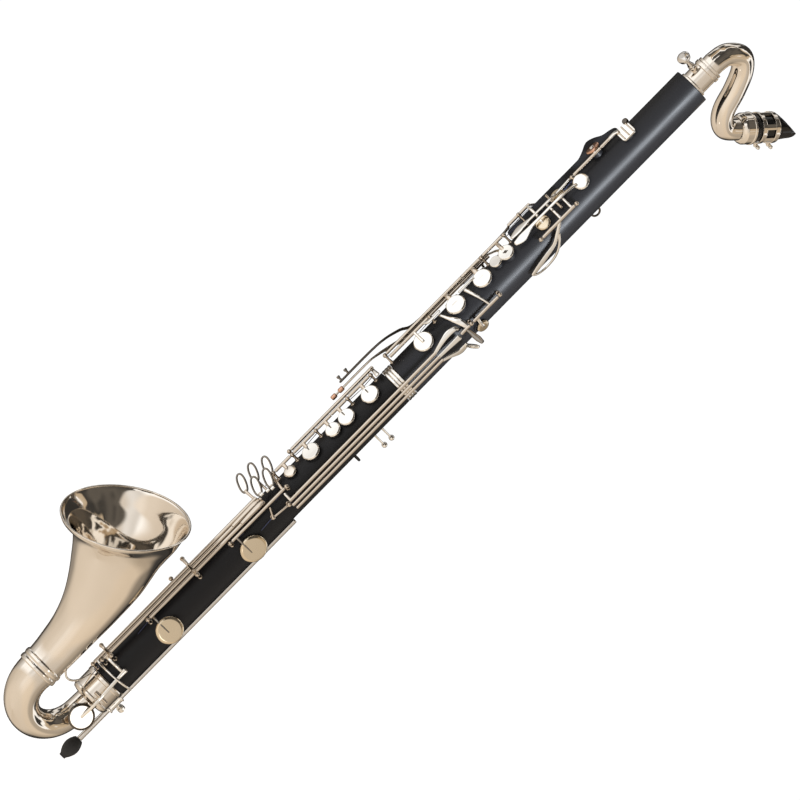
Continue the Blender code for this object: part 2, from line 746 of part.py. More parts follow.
def vent_keys():
    rod = (-7.0, 26.0)
    key("upper_vent_key", (312.0, *rod), [
        tube(302.0, 321.0, *rod),
        cup(330.0, 9.0, CLOSED, 9.0, 3.8),
        arm(((316.0, -6.0, 26.3, 3.4, 1.8), (325.0, -1.0, 26.4, 3.4, 1.8),
            (330.0, 8.0, 26.2, 4.5, 1.8)), 1),
    ])
    z, angle, top = VENT_SEAT
    key("lower_vent_key", (282.0, *rod), [
        tube(264.2, 301.2, *rod),
        cup(z, angle, top + GAP, 8.2, 2.8),
        arm(((z - 2, -7.0, 26.6, 3.4, 1.8), (z - 1, -15.0, 28.6, 3.4, 1.8), (z, -23.0, 29.6, 3.6, 1.8)), 1),
    ])
    key("register_lever", (220.0, 48.0, 27.0), [
        tube(199.5, 243.0, 48.0, 27.0),
        arm(((240.0, 48.0, 26.6, 3.0, 1.8), (240.0, 32.0, 26.0, 2.6, 1.6),
            (240.0, 19.0, 25.8, 2.6, 1.6)), 1),
        arm(((225.0, 48.0, 26.4, 3.0, 1.8), (225.0, 30.0, 25.0, 2.6, 1.6),
             (225.0, 8.0, 24.2, 2.6, 1.6), (225.0, -14.0, 24.2, 2.8, 1.6)), 1),
        arm(((222.0, 49.0, 27.0, 3.0, 2.0), (212.0, 66.0, 26.0, 5.0, 2.0), (202.0, 84.0, 26.0, 7.0, 2.0),
             (186.0, 108.0, 26.0, 9.0, 2.0), (172.0, 106.0, 26.0, 7.5, 2.0),
                 (166.5, 96.0, 26.0, 4.5, 2.0))),
    ])


def throat_keys():
    key("throat_a_key", (233.0, 14.4, 27.2), [
        barrel(233.0, 14.4, 27.2, -2.4, 9.0, 1.4),
        cup(264.6, 17.0, CLOSED, 8.8),
        arm(((264.6, 17.0, 25.4, 4.0, 2.2), (256.0, 15.5, 27.2, 3.0, 2.0), (240.0, 14.4, 28.6, 3.2, 2.0),
             (215.0, 14.4, 28.9, 2.6, 1.8), (200.0, 14.4, 28.6, 4.0, 1.8), (186.0, 18.0, 28.2, 9.0, 1.8),
             (176.5, 16.0, 28.0, 5.0, 1.8)), 1),
    ])
    key("throat_gsharp_key", (231.0, -3.5, 26.6), [
        barrel(231.0, -3.5, 26.6, -9.0, 3.2, 1.4),
        cup(239.0, -8.0, CLOSED, 8.0, 2.8),
        arm(((258.0, -7.5, 26.4, 2.4, 1.8), (240.0, -6.0, 25.6, 3.4, 2.6), (231.0, -3.5, 27.2, 3.2, 2.0),
             (206.0, -3.5, 27.6, 2.6, 1.8), (199.0, -5.0, 27.4, 5.0, 1.8), (188.0, -7.0, 27.2, 9.0, 1.8),
             (178.0, -4.0, 27.0, 4.5, 1.8)), 1),
    ])


def left_stack():
    rod = (-30.0, 30.0)
    key("half_hole_key", (160.0, *rod), [
        tube(145.6, 172.0, *rod),
        cup(163.7, 10.0, CLOSED, 8.8),
        cup(150.2, 6.5, CLOSED, 6.8, 3.0),
        arm(((157.5, 8.0, CLOSED + 1.4, 8.0, 2.2), (153.5, 7.0, CLOSED + 1.4, 8.0, 2.2)), 1),
        arm(((163.7, -30.0, 28.9, 4.0, 2.0), (163.7, -10.0, 26.0, 4.0, 2.0),
            (163.7, 4.0, CLOSED + 1.6, 5.0, 2.0)), 1),
    ], STANDS_OPEN)
    key("lh_plateau_2", (128.0, *rod), [
        tube(116.4, 140.8, *rod),
        cup(129.4, 13.4, CLOSED, 9.3),
        arm(((129.4, -30.0, 28.9, 6.0, 2.0), (129.4, -12.0, 26.2, 10.0, 2.2),
            (129.4, 4.0, CLOSED + 1.6, 14.0, 2.4)), 1),
        arm(((125.0, -1.0, 24.3, 2.2, 1.6), (120.0, -1.2, 26.0, 2.2, 1.6), (104.0, -1.5, 26.4, 2.2, 1.6)), 1),
    ], STANDS_OPEN)
    key("lh_plateau_3", (60.0, *rod), [
        tube(11.6, 115.6, *rod),
        cup(93.0, 11.5, CLOSED, 9.8),
        arm(((93.0, -30.0, 28.9, 6.0, 2.0), (93.0, -12.0, 26.2, 10.0, 2.2),
            (93.0, 3.0, CLOSED + 1.6, 14.0, 2.4)), 1),
    ], STANDS_OPEN)
    key("csharp_key", (40.0, -14.0, 28.0), [
        tube(11.6, 64.0, -14.0, 28.0),
        cup(45.0, 17.0, CLOSED, 10.6),
        arm(((45.0, -14.0, 28.4, 3.2, 1.8), (45.0, 2.0, 26.0, 3.2, 1.8), (45.0, 17.0, 25.2, 3.6, 1.8)), 1),
        arm(((58.0, -13.0, 28.0, 3.0, 2.0), (62.0, -3.0, 28.2, 3.4, 2.0), (77.0, -2.4, 28.2, 3.0, 1.6)), 1),
    ])


def left_levers():
    key("lh_cross_key", (110.0, 68.0, 27.0), [
        tube(93.4, 127.0, 68.0, 27.0),
        arm(((116.6, 66.0, 27.0, 2.6, 1.8), (114.5, 45.0, 26.6, 2.6, 1.8), (111.5, 22.0, 26.6, 3.0, 1.8),
             (109.8, 4.0, 26.4, 4.0, 1.8)), 2),
        cup(97.0, 104.0, CLOSED, 6.9, 2.8),
        arm(((98.0, 70.0, 26.6, 3.2, 1.8), (97.0, 88.0, 25.2, 3.2, 1.8), (97.0, 101.0, 24.4, 3.6, 1.8)), 1),
    ])
    key("csharp_lever", (82.0, 68.0, 27.0), [
        tube(76.0, 87.6, 68.0, 27.0),
        arm(((85.5, 66.0, 27.0, 4.0, 1.8), (83.5, 48.0, 26.0, 6.0, 1.8), (78.0, 22.0, 25.2, 3.4, 1.6),
             (74.5, -1.0, 25.2, 2.6, 1.6)), 2),
        strip([at(83.0, 70.0, 27.0), at(84.0, 81.0, 36.0), at(85.0, 87.0, 46.0)], [3.0, 4.4, 4.0], [2.0,
            2.2, 2.0],
              up=(0.3, 0.6, 0), sides=6),
    ])
    key("lh_pinky_1", (-60.0, 57.0, 27.0), [
        tube(-157.5, 46.0, 57.0, 27.0),
        arm(((44.0, 57.0, 27.2, 3.0, 2.0), (56.0, 51.0, 27.8, 4.2, 2.0), (67.0, 47.5, 28.0, 5.6, 2.0),
             (75.0, 50.0, 28.0, 4.6, 2.0), (77.0, 55.0, 27.8, 2.4, 1.6))),
        arm(((-156.0, 56.0, 27.0, 3.6, 2.0), (-156.0, 40.0, 27.4, 3.0, 2.0)), 1),
    ])
    key("lh_pinky_2", (-60.0, 68.0, 27.0), [
        tube(-158.5, 46.0, 68.0, 27.0),
        arm(((44.0, 68.0, 27.4, 3.4, 2.0), (58.0, 68.5, 28.0, 4.0, 2.0), (72.5, 69.0, 28.4, 5.4, 2.0)), 1),
    ])
    key("lh_pinky_3", (-60.0, 79.0, 27.0), [
        tube(-157.5, 46.0, 79.0, 27.0),
        arm(((44.0, 79.0, 27.2, 3.0, 2.0), (54.0, 86.0, 27.8, 4.2, 2.0), (64.0, 95.0, 28.4, 6.0, 2.0),
             (73.0, 92.0, 29.0, 5.0, 2.0)), 2),
        strip([at(71.5, 92.0, 29.0), at(75.0, 90.0, 37.0), at(79.0, 88.0, 46.5)], [3.6, 4.4, 3.4], [1.8,
            2.0, 1.8],
              up=(0.3, 0.6, 0.2), sides=6),
    ])


def outer_lever(touch, radius, lever, low, high, tube_radius, end):
    """A side key whose long lever rises to an outer touch with a round-headed pin."""
    tube_angle = lever + 5
    return [
        tube(low, high, tube_angle, tube_radius, 1.5),
        arm(((low + 2, tube_angle, tube_radius, 3.0, 2.0), (low - 12, lever, 30.2, 3.2, 2.0),
             (100.0, lever, 30.0, 3.2, 2.0), (52.0, lever, 30.5, 3.6, 2.0),
             (37.0, (lever + touch) / 2, 36.5, 4.6, 2.2), (20.0, touch, radius - 1.4, 5.4, 2.2),
             (0.0, touch, radius, 6.0, 2.2), (end - 1.6, touch, radius, 5.4, 2.2)), 1),
        strip([at(end, touch, radius - 1), at(end, touch, radius + 6.5)], [2.2] * 2, [2.2] * 2, up=(0, 0,
            1), sides=6),
    ]


def inner_lever(touch, radius, lever, low, high, tube_radius, end):
    """A side key whose lever passes under the outer ones to a touch with a roller end."""
    return [
        tube(low, high, lever, tube_radius, 1.5),
        arm(((low + 2, lever, tube_radius, 3.0, 2.0), (60.0, lever, 29.6, 3.2, 2.0),
            (38.0, lever, 29.8, 3.6, 2.0),
             (20.0, (lever + touch) / 2, 32.0, 4.2, 2.0), (4.0, touch - 3, 35.0, 4.6, 2.0),
             (-10.0, touch, radius, 4.6, 2.0), (end + 2, touch, radius, 4.0, 2.0)), 1),
        turned(at(end - 3.5, touch, radius), Vector((0, 0, 1)), ((0, 2.0), (1, 2.9), (6, 2.9),
                                                    (7, 2.0)), 8),
    ]


def side_keys():
    for number, touch, radius, lever, low, high, tube_radius, end in SIDE_KEYS:
        outer = number < 3
        build = outer_lever if outer else inner_lever
        pieces = build(touch, radius, lever, low, high, tube_radius, end)
        stations, (z, angle, size, height) = SIDE_PADS[number]
        pieces += [arm(stations, 1), cup(z, angle, CLOSED, size, height)]
        key(f"side_key_{number}", ((low + high) / 2, lever + 5 if outer else lever, tube_radius), pieces)


# --- Keys of the lower joint -----------------------------------------------------------------------


def right_stack():
    rod = (-18.0, 28.5)
    top = CLOSED + 3.2
    plateaus = (  # name, tube low and high, cup z, angle, radius, lift at rest
        ("rh_plateau_1", -44.4, -17.2, -28.4, 16.0, 9.8, STANDS_OPEN),
        ("rh_plateau_2", -69.0, -49.6, -60.3, 13.4, 9.3, STANDS_OPEN),
        ("rh_vent_key", -88.4, -69.8, -78.4, 11.0, 8.3, STANDS_OPEN),
        ("rh_plateau_3", -121.4, -93.6, -108.8, 9.5, 9.8, STANDS_OPEN),
        ("rh_sliver_key", -147.0, -126.6, -137.0, 5.0, 6.9, 0.0),
    )
    for name, low, high, z, angle, radius, lift in plateaus:
        key(name, (z, *rod), [
            tube(low, high, *rod),
            cup(z, angle, CLOSED, radius),
            arm(((z, -18.0, 28.6, 4.0, 2.0), (z, -4.0, top, 4.0, 2.0), (z, angle, top, 3.2, 1.8)), 1),
        ], lift)
    key("bridge_key", (-60.0, -34.0, 30.0), [
        tube(-121.0, -7.4, -34.0, 30.0),
        arm(((-9.6, -33.0, 30.0, 3.4, 2.0), (-9.6, -20.0, 28.4, 3.4, 2.0),
            (-9.6, -4.0, 27.0, 4.0, 2.0)), 1),
    ])


def low_key(name, angle, low, high, pieces, stands_open=0.0):
    hinge = ((low + high) / 2, angle, 28.0)
    key(name, hinge, [tube(low, high, angle, 28.0, 1.6)] + pieces, stands_open)


def needle(z, rod_angle, cup_angle, base):
    middle = (rod_angle + cup_angle) / 2
    return arm(((z, rod_angle, 28.0, 3.0, 1.8), (z, middle, 26.6, 2.6, 1.8),
               (z, cup_angle - 14, base + 3.4, 2.6, 1.8),
                (z, cup_angle, base + 3.2, 3.0, 1.8)), 1)


def low_keys():
    low_key("low_gsharp_key", 31.0, -225.0, -152.8, [
        cup(-215.6, 79.0, CLOSED, 14.4, 3.4, 18),
        needle(-219.5, 31.0, 79.0, CLOSED),
        reach(at(-154.6, 31.0, 28.4), -149.0, -28.0, 36.4),
        paddle(-149.0, -28.0, 36.4),
    ])
    low_key("low_fsharp_key", 20.0, -334.5, -175.5, [
        cup(-330.0, 71.0, CLOSED, 14.2, 3.4, 18),
        needle(-332.0, 20.0, 71.0, CLOSED),
    ], 4.0)
    low_key("low_e_key", 9.5, -394.0, -175.5, [
        arm(((-391.5, 9.5, 28.0, 4.0, 2.0), (-391.5, 32.0, 25.4, 3.4, 2.0), (-391.5, 47.0, 22.6, 3.4, 1.8),
             (-391.5, 63.0, 22.2, 3.4, 1.6)), 1),
    ])
    low_key("low_eb_key", -1.0, -404.0, -178.5, [
        arm(((-400.4, -1.0, 28.0, 3.0, 1.8), (-401.0, 30.0, 29.6, 2.2, 1.8), (-400.0, 66.0, 31.6, 2.2, 1.8),
             (-398.0, 99.0, 29.6, 2.2, 1.8)), 2),
        reach(at(-180.6, -1.5, 28.6), -178.4, -32.0, 41.4),
        paddle(-178.4, -32.0, 41.4),
    ])
    touches = (  # name, z of the tube, its angle, then the paddle's z, angle and radius
        ("rh_touch_1", -160.4, 14.0, -156.6, -4.0, 33.6),
        ("rh_touch_2", -165.4, 10.0, -163.2, -32.0, 41.0),
        ("rh_touch_3", -172.4, 6.0, -170.4, -10.0, 34.2),
    )
    for name, z, hinge, paddle_z, angle, radius in touches:
        key(name, (z, hinge, 29.6), [
            tube(z - 2.0, z + 2.0, hinge, 29.6, 1.8),
            reach(at(z, hinge, 30.0), paddle_z, angle, radius, 3.0),
            paddle(paddle_z, angle, radius),
        ])


def bow_key():
    z, angle, radius = -424.0, 66.0, 24.6
    key("bow_key", (z, angle, radius), [
        barrel(z, angle, radius, -8.0, 8.0, 1.7),
        cup(-450.8, 68.0, 17.7, 13.6, 3.2, 18),
        arm(((-450.8, 68.0, 20.9, 3.0, 1.8), (-436.0, 67.0, 24.2, 3.2, 2.0), (-424.0, 66.0, 25.2, 3.6, 2.4),
             (-409.0, 64.0, 25.7, 3.6, 1.8), (-397.0, 63.0, 25.7, 3.6, 1.8), (-388.5, 62.0, 26.4, 5.0, 2.0)), 1),
    ], 3.0, sideways(angle))


def main():
    clear_scene()
    upper_joint()
    lower_joint()
    seam()
    neck()
    neck_screw()
    mouthpiece()
    reed()
    ligature()
    bell_end()
    bell_brace()
    floor_peg()
    thumb_rest()
    strap_ring()
    vent_keys()
    throat_keys()
    left_stack()
    left_levers()
    side_keys()
    right_stack()
    low_keys()
    bow_key()


main()
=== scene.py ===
from math import copysign, cos, pi, radians, sin, tan

import bpy
import bmesh
from mathutils import Matrix, Vector

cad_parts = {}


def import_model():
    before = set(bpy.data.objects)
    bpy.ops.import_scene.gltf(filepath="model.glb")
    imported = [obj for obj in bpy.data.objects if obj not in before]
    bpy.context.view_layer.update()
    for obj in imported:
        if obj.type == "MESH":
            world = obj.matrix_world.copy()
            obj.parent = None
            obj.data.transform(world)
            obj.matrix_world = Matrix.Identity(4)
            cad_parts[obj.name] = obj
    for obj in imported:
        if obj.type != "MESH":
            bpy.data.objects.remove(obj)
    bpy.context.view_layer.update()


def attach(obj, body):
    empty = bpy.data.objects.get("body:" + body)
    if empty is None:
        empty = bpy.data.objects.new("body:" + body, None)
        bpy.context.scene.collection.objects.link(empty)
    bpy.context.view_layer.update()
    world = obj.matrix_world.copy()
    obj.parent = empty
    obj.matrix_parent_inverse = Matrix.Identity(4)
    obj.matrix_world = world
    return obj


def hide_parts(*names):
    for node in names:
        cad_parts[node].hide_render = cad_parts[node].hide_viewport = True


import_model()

# A place on the body is (z, angle, radius): z up the bore, the angle in degrees round it from the
# front towards the player's left, the radius from its axis. Lengths are in millimetres.
MM = 0.001
UP = Vector((0, 0, 1))
ASIDE = Vector((1, 0, 0))
BODY_R = 19.5
BORE_R = 11.8
BODY_TOP = 408.5
BODY_BOTTOM = -408
SHOULDER = 5.5  # how far each joint ends from the middle ring's centre
RAIL_ANGLE = -50  # of the raised ridge on the upper joint
SEAT_R = 21.2  # the rim of a tone hole
CLOSED = SEAT_R + 0.3  # the underside of a shut pad
STANDS_OPEN = 5.5  # degrees a finger plateau is lifted at rest
TOUCH_FACING = 25  # the way the little-finger touches face
LOW_ROD_R = 28  # of the long low tubes
ARM_THICK = 1.8
PIN_OUT = 0.35  # how far a hinge rod shows at each end of its tube
LOWER_VENT = (296, -24)  # z and angle of the raised vent hole
BOW_HOLE = (-450.8, 68)  # z and angle of the bow's tone hole
NECK_R = 11.4
MOUTH_TILT = radians(39.5)
MOUTH_BASE = (81.7, 410.4)  # y and z of the neck's end
MOUTH_R = 15.2
MOUTH_LENGTH = 71
SOCKET_LENGTH = 17.5
TABLE_HEEL = 25  # along the mouthpiece, where the reed's table begins
BEAK = 47  # and where its beak begins
PEG_Y = 28.8
PEG_FOOT = -470
BELL_WALL = 1.2
SMOOTH_ANGLE = 40
GAP = 0.3  # between pieces that turn or slide in each other


# --- Points and shapes: a shape is (kind of finish, points, faces) ---


def at(z, angle, radius):
    turn = radians(angle)
    return Vector((radius * sin(turn), -radius * cos(turn), z)) * MM


def outward(angle):
    turn = radians(angle)
    return Vector((sin(turn), -cos(turn), 0))


def sideways(angle):
    turn = radians(angle)
    return Vector((cos(turn), sin(turn), 0))


def yz(y, z):
    return Vector((0, y, z)) * MM


def between(before, start, end, after, t):
    """The Catmull-Rom value a share t of the way from start to end."""
    linear = (end - before) * t
    square = (2 * before - 5 * start + 4 * end - after) * t**2
    cube = (3 * start - before - 3 * end + after) * t**3
    return 0.5 * (2 * start + linear + square + cube)


def smooth(points, per_span):
    ends = [points[0]] + list(points) + [points[-1]]
    found = []
    for a, b, c, d in zip(ends, ends[1:], ends[2:], ends[3:]):
        for i in range(per_span):
            found.append(tuple(between(*four, i / per_span) for four in zip(a, b, c, d)))
    found.append(tuple(points[-1]))
    return found


def eased(profile, size, closed=False, steps=3):
    """The profile with its corners rounded off over this many millimetres."""
    count = len(profile)
    made = [] if closed else [profile[0]]
    for i in range(count) if closed else range(1, count - 1):
        corner = Vector(profile[i])
        ends = []
        for other in (profile[i - 1], profile[(i + 1) % count]):
            way = Vector(other) - corner
            ends.append(corner + way * min(size / max(way.length, 1e-6), 0.45))
        for k in range(steps + 1):
            t = k / steps
            made.append(tuple(ends[0] * (1 - t) ** 2 + corner * 2 * t * (1 - t) + ends[1] * t**2))
    if not closed:
        made.append(profile[-1])
    return made


def skin(kind, rings, close_ends=True):
    count = len(rings[0])
    points = [p for ring in rings for p in ring]
    pairs = [(i, i + 1) for i in range(len(rings) - 1)]
    if not close_ends:
        pairs.append((len(rings) - 1, 0))
    faces = []
    for low, high in pairs:
        for i in range(count):
            j = (i + 1) % count
            faces.append((low * count + i, low * count + j, high * count + j, high * count + i))
    if close_ends:
        last = (len(rings) - 1) * count
        faces.append(tuple(range(count - 1, -1, -1)))
        faces.append(tuple(range(last, last + count)))
    return [(kind, points, faces)]


def spokes(count, shift=0.5, bend=1):
    """The cosine and sine of turns spread evenly round a circle; a bend below 1 makes it squarer."""
    turns = [2 * pi * (i + shift) / count for i in range(count)]
    return [tuple(copysign(abs(v) ** bend, v) for v in (cos(t), sin(t))) for t in turns]


def circle(center, u, v, radius, sides, squash=1, power=2):
    """A ring of points: power above 2 makes it squarer."""
    return [center + (u * c + v * s * squash) * radius * MM for c, s in spokes(sides, bend=2 / power)]


def frame_of(axis):
    helper = UP if abs(axis.z) < 0.9 else Vector((0, 1, 0))
    u = helper.cross(axis).normalized()
    return u, axis.cross(u)


def turned(kind, start, axis, profile, sides=28, ease=0.35):
    """A solid turned about an axis from (distance along it, radius) points."""
    axis = axis.normalized()
    u, v = frame_of(axis)
    full = [(profile[0][0], 0.02)] + list(profile) + [(profile[-1][0], 0.02)]
    rings = [circle(start + axis * along * MM, u, v, radius, sides) for along, radius in eased(full, ease)]
    return skin(kind, rings)


def turned_ring(kind, start, axis, profile, sides=64, ease=0.35):
    axis = axis.normalized()
    u, v = frame_of(axis)
    rounded = eased(profile, ease, closed=True)
    rings = [circle(start + axis * along * MM, u, v, radius, sides) for along, radius in rounded]
    return skin(kind, rings, close_ends=False)


def tangents(points):
    ends = [points[0]] + list(points) + [points[-1]]
    return [(after - before).normalized() for before, after in zip(ends, ends[2:])]


def pipe(kind, path, outer, wall, sides):
    """A hollow tube in the plane of symmetry with rounded lips."""
    outside, inside = [], []
    for point, along, big in zip(path, tangents(path), outer):
        other = along.cross(ASIDE)
        outside.append(circle(point, ASIDE, other, big, sides))
        inside.append(circle(point, ASIDE, other, big - wall, sides))
    return skin(kind, outside + inside[::-1], close_ends=False)


def strip(kind, points, widths, thicknesses, up=None, sides=16, power=2.8):
    """A bar through points with rounded noses; with no up its flat side faces away from the bore."""
    way = tangents(points)
    stations = list(zip(points, way, widths, thicknesses))
    nose = [(sin(radians(turn)), cos(radians(turn))) for turn in (80, 55, 28)]
    first, last = stations[0], stations[-1]
    reach_1 = min(first[2], first[3] * 1.4) / 2 * MM
    reach_2 = min(last[2], last[3] * 1.4) / 2 * MM
    start = [(first[0] - first[1] * reach_1 * s, first[1], first[2] * c, first[3] * c) for s, c in nose]
    finish = [(last[0] + last[1] * reach_2 * s, last[1], last[2] * c, last[3] * c) for s, c in nose[::-1]]
    rings = []
    for point, along, width, thick in start + stations + finish:
        flat = Vector((point.x, point.y, 0)) if up is None else Vector(up)
        across = along.cross(flat).normalized()
        rings.append(circle(point, across, across.cross(along), width / 2, sides, thick / width, power))
    return skin(kind, rings)


def ball(kind, center, radius, axis=UP, sides=20):
    profile = [(-radius * cos(t), radius * sin(t)) for t in [pi * i / 14 for i in range(1, 14)]]
    return turned(kind, center, axis, profile, sides, 0)


def prism(kind, outline, side, half, ease=0.6):
    """A rounded slab between two copies of an outline of points."""
    count = len(outline)
    middle = sum(outline, Vector()) / count
    rings = []
    for level, inset in ((-half, ease), (-half + ease * 0.3, ease * 0.3), (-half + ease, 0),
                         (half - ease, 0), (half - ease * 0.3, ease * 0.3), (half, ease)):
        rings.append([p + (middle - p).normalized() * inset * MM + side * level * MM for p in outline])
    return skin(kind, rings)


# --- Finishes ---


def feed(tree, node, inputs):
    """Set a node's inputs to values, or link them to the outputs they come from."""
    for name, value in inputs.items():
        if isinstance(value, bpy.types.NodeSocket):
            tree.links.new(value, node.inputs[name])
        else:
            node.inputs[name].default_value = value


def add(tree, kind, inputs, **choices):
    made = tree.nodes.new(f"ShaderNode{kind}")
    for name, choice in choices.items():
        setattr(made, name, choice)
    feed(tree, made, inputs)
    return made


def finish(name, colors, metallic, rough, scale=60, stretch=(1, 1, 1), bump=0, coat=0, specular=0.5):
    """A procedural finish: cloudy colour between two tones, and gloss and relief from a fine grain."""
    made = bpy.data.materials.new(name)
    made.use_nodes = True
    tree = made.node_tree
    place = add(tree, "TexCoord", {}).outputs["Object"]
    mapped = add(tree, "Mapping", {"Scale": stretch, "Vector": place}).outputs["Vector"]
    clouds = add(tree, "TexNoise", {"Scale": scale, "Detail": 4, "Vector": mapped}).outputs["Fac"]
    tones = {"A": (*colors[0], 1), "B": (*colors[1], 1), "Factor": clouds}
    tone = add(tree, "Mix", tones, data_type="RGBA").outputs["Result"]
    grain = add(tree, "TexNoise", {"Scale": 400, "Detail": 3, "Vector": mapped}).outputs["Fac"]
    spread = {"From Min": 0.3, "From Max": 0.7, "To Min": rough[0], "To Max": rough[1], "Value": grain}
    inputs = {"Base Color": tone, "Roughness": add(tree, "MapRange", spread).outputs["Result"],
              "Metallic": metallic, "Coat Weight": coat, "Specular IOR Level": specular}
    if bump:
        relief = add(tree, "Bump", {"Strength": bump, "Distance": 0.0002, "Height": grain})
        inputs["Normal"] = relief.outputs["Normal"]
    feed(tree, tree.nodes["Principled BSDF"], inputs)
    return made


LONG = (1, 1, 0.06)  # grain drawn out along the bore
FINISHES = {
    "shell": finish("warm_nickel", ((0.8, 0.735, 0.655), (0.85, 0.79, 0.71)), 1, (0.06, 0.09), 22),
    "plate": finish("key_plate", ((0.88, 0.85, 0.8), (0.93, 0.91, 0.87)), 1, (0.06, 0.09), 60),
    # Hinge tubes, posts and arms: a darker, warmer copy of the key nickel, whose darkness is painted shade
    # for the gaps between the tubes.
    "rod": finish("hinge_tube", ((0.62, 0.54, 0.45), (0.72, 0.64, 0.55)), 1, (0.09, 0.14), 50, LONG),
    # A near-black copy of the key nickel: painted shade where it is used.
    "dark": finish("dark_plate", ((0.1, 0.088, 0.075), (0.15, 0.13, 0.11)), 1, (0.12, 0.2), 60),
    # A dark grey copy of the key nickel: painted shade on the needles, touch rims and some levers.
    "smoked": finish("painted_shade_plate", ((0.26, 0.24, 0.21), (0.33, 0.3, 0.27)), 1, (0.12, 0.2), 60),
    # Tan-tinted nickel for the larger cups: the tan is a painted reflection of warm surroundings, while the
    # slightly higher roughness is real.
    "pad_cup": finish("reflection_tinted_cup", ((0.73, 0.62, 0.46), (0.79, 0.69, 0.53)), 1, (0.1, 0.14), 30),
    "resin": finish("black_resin", ((0.01, 0.01, 0.0115), (0.014, 0.014, 0.016)), 0, (0.38, 0.44), 30,
                    LONG, 0.1, specular=0.25),
    "ebonite": finish("black_ebonite", ((0.006, 0.006, 0.007), (0.01, 0.01, 0.01)), 0, (0.1, 0.16), 40,
                      coat=0.1, specular=0.35),
    "steel": finish("drawn_steel", ((0.7, 0.67, 0.63), (0.78, 0.75, 0.71)), 1, (0.12, 0.18), 50, LONG),
    "blued": finish("blued_spring", ((0.05, 0.07, 0.16), (0.09, 0.09, 0.14)), 1, (0.2, 0.3), 90),
    "rose": finish("copper_plate", ((0.62, 0.34, 0.22), (0.75, 0.46, 0.33)), 1, (0.15, 0.25), 60),
    "leather": finish("tan_pad", ((0.5, 0.35, 0.22), (0.62, 0.46, 0.3)), 0, (0.6, 0.8), 300, bump=0.4),
    "cork": finish("cork", ((0.42, 0.27, 0.15), (0.66, 0.48, 0.3)), 0, (0.8, 0.95), 700, bump=0.8),
    "cane": finish("cane", ((0.72, 0.56, 0.3), (0.84, 0.7, 0.44)), 0, (0.5, 0.65), 120, (1, 0.2, 0.2), 0.3),
    "rubber": finish("black_rubber", ((0.012, 0.012, 0.012), (0.022, 0.022, 0.022)), 0, (0.55, 0.75), 80,
                     bump=0.3),
}


def placed(name, data):
    obj = bpy.data.objects.new(name, data)
    bpy.context.scene.collection.objects.link(obj)
    return obj


def piece(name, shapes, body, replaces, turn):
    """One object from shapes of one kind, riding on a CAD body."""
    mesh = bpy.data.meshes.new(name)
    points, faces = [], []
    for _, some, others in shapes:
        first = len(points)
        points += some
        faces += [tuple(first + i for i in face) for face in others]
    mesh.from_pydata(points, [], faces)
    made = bmesh.new()
    made.from_mesh(mesh)
    if turn is not None:
        bmesh.ops.transform(made, matrix=turn, verts=made.verts)
    bmesh.ops.recalc_face_normals(made, faces=made.faces)
    made.to_mesh(mesh)
    made.free()
    mesh.shade_smooth()
    mesh.set_sharp_from_angle(angle=radians(SMOOTH_ANGLE))
    kind = shapes[0][0]
    mesh.materials.append(FINISHES[kind])
    obj = placed(name, mesh)
    normals = obj.modifiers.new("normals", "WEIGHTED_NORMAL")
    normals.keep_sharp = True
    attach(obj, body)
    if replaces:
        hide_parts(*replaces)


def group(name, shapes, body="body", replaces=None, turn=None):
    """Pieces named for their finish, one for each kind among the shapes. The first stands in for the
    CAD nodes given, or for the node that has the group's name."""
    replaces = [name] if replaces is None else replaces
    for kind in dict.fromkeys(shape[0] for shape in shapes):
        piece(f"{name}_{kind}", [shape for shape in shapes if shape[0] == kind], body, replaces, turn)
        replaces = ()


# --- Parts of a key ---


def tube(z_low, z_high, angle, radius, thick=1.7):
    """A hinge tube with its rod's ends showing."""
    length = z_high - z_low
    made = turned("rod", at(z_low, angle, radius), UP, ((0, thick), (length, thick)), 20, 0.25)
    pin = ((0, 0.9), (length + 2 * PIN_OUT, 0.9))
    return made + turned("steel", at(z_low - PIN_OUT, angle, radius), UP, pin, 12, 0.1)


def barrel(z, angle, radius, from_side, to_side, thick=1.5):
    side = sideways(angle)
    start = at(z, angle, radius) + side * from_side * MM
    return turned("rod", start, side, ((0, thick), (to_side - from_side, thick)), 20, 0.25)


def cup(z, angle, radius, height=3.2, kind="plate", top="dome", base=CLOSED):
    """A pad cup: a tan pad under a rim, and a top that is domed or dished for a finger."""
    way = outward(angle)
    start = at(z, angle, base)
    pad = ((0, radius - 1.3), (0.4, radius - 0.7), (1.3, radius - 0.7))
    rim = ((0.9, radius - 0.9), (0.9, radius), (height * 0.62, radius), (height * 0.9, radius * 0.93))
    if top == "dish":
        crown = ((height, radius * 0.9), (height - 0.06, radius * 0.6), (height - 0.1, radius * 0.3))
    else:
        crown = tuple((height + 0.35 * cos(t), radius * 0.86 * sin(t) + 0.02) for t in (1.45, 1.1, 0.7, 0.3))
    return turned(kind, start, way, rim + crown, 44, 0.45) + turned("leather", start, way, pad, 44, 0.3)


def bar(kind, stations, up=None):
    """A bar whose stations are each (z, angle, radius, width, thickness)."""
    points = [at(*station[:3]) for station in stations]
    return strip(kind, points, [s[3] for s in stations], [s[4] for s in stations], up)


def arm(*stations, spans=5, kind="plate"):
    """A curved bar on the body, whose stations may leave out the usual thickness."""
    return bar(kind, smooth([(*station, ARM_THICK)[:5] for station in stations], spans))


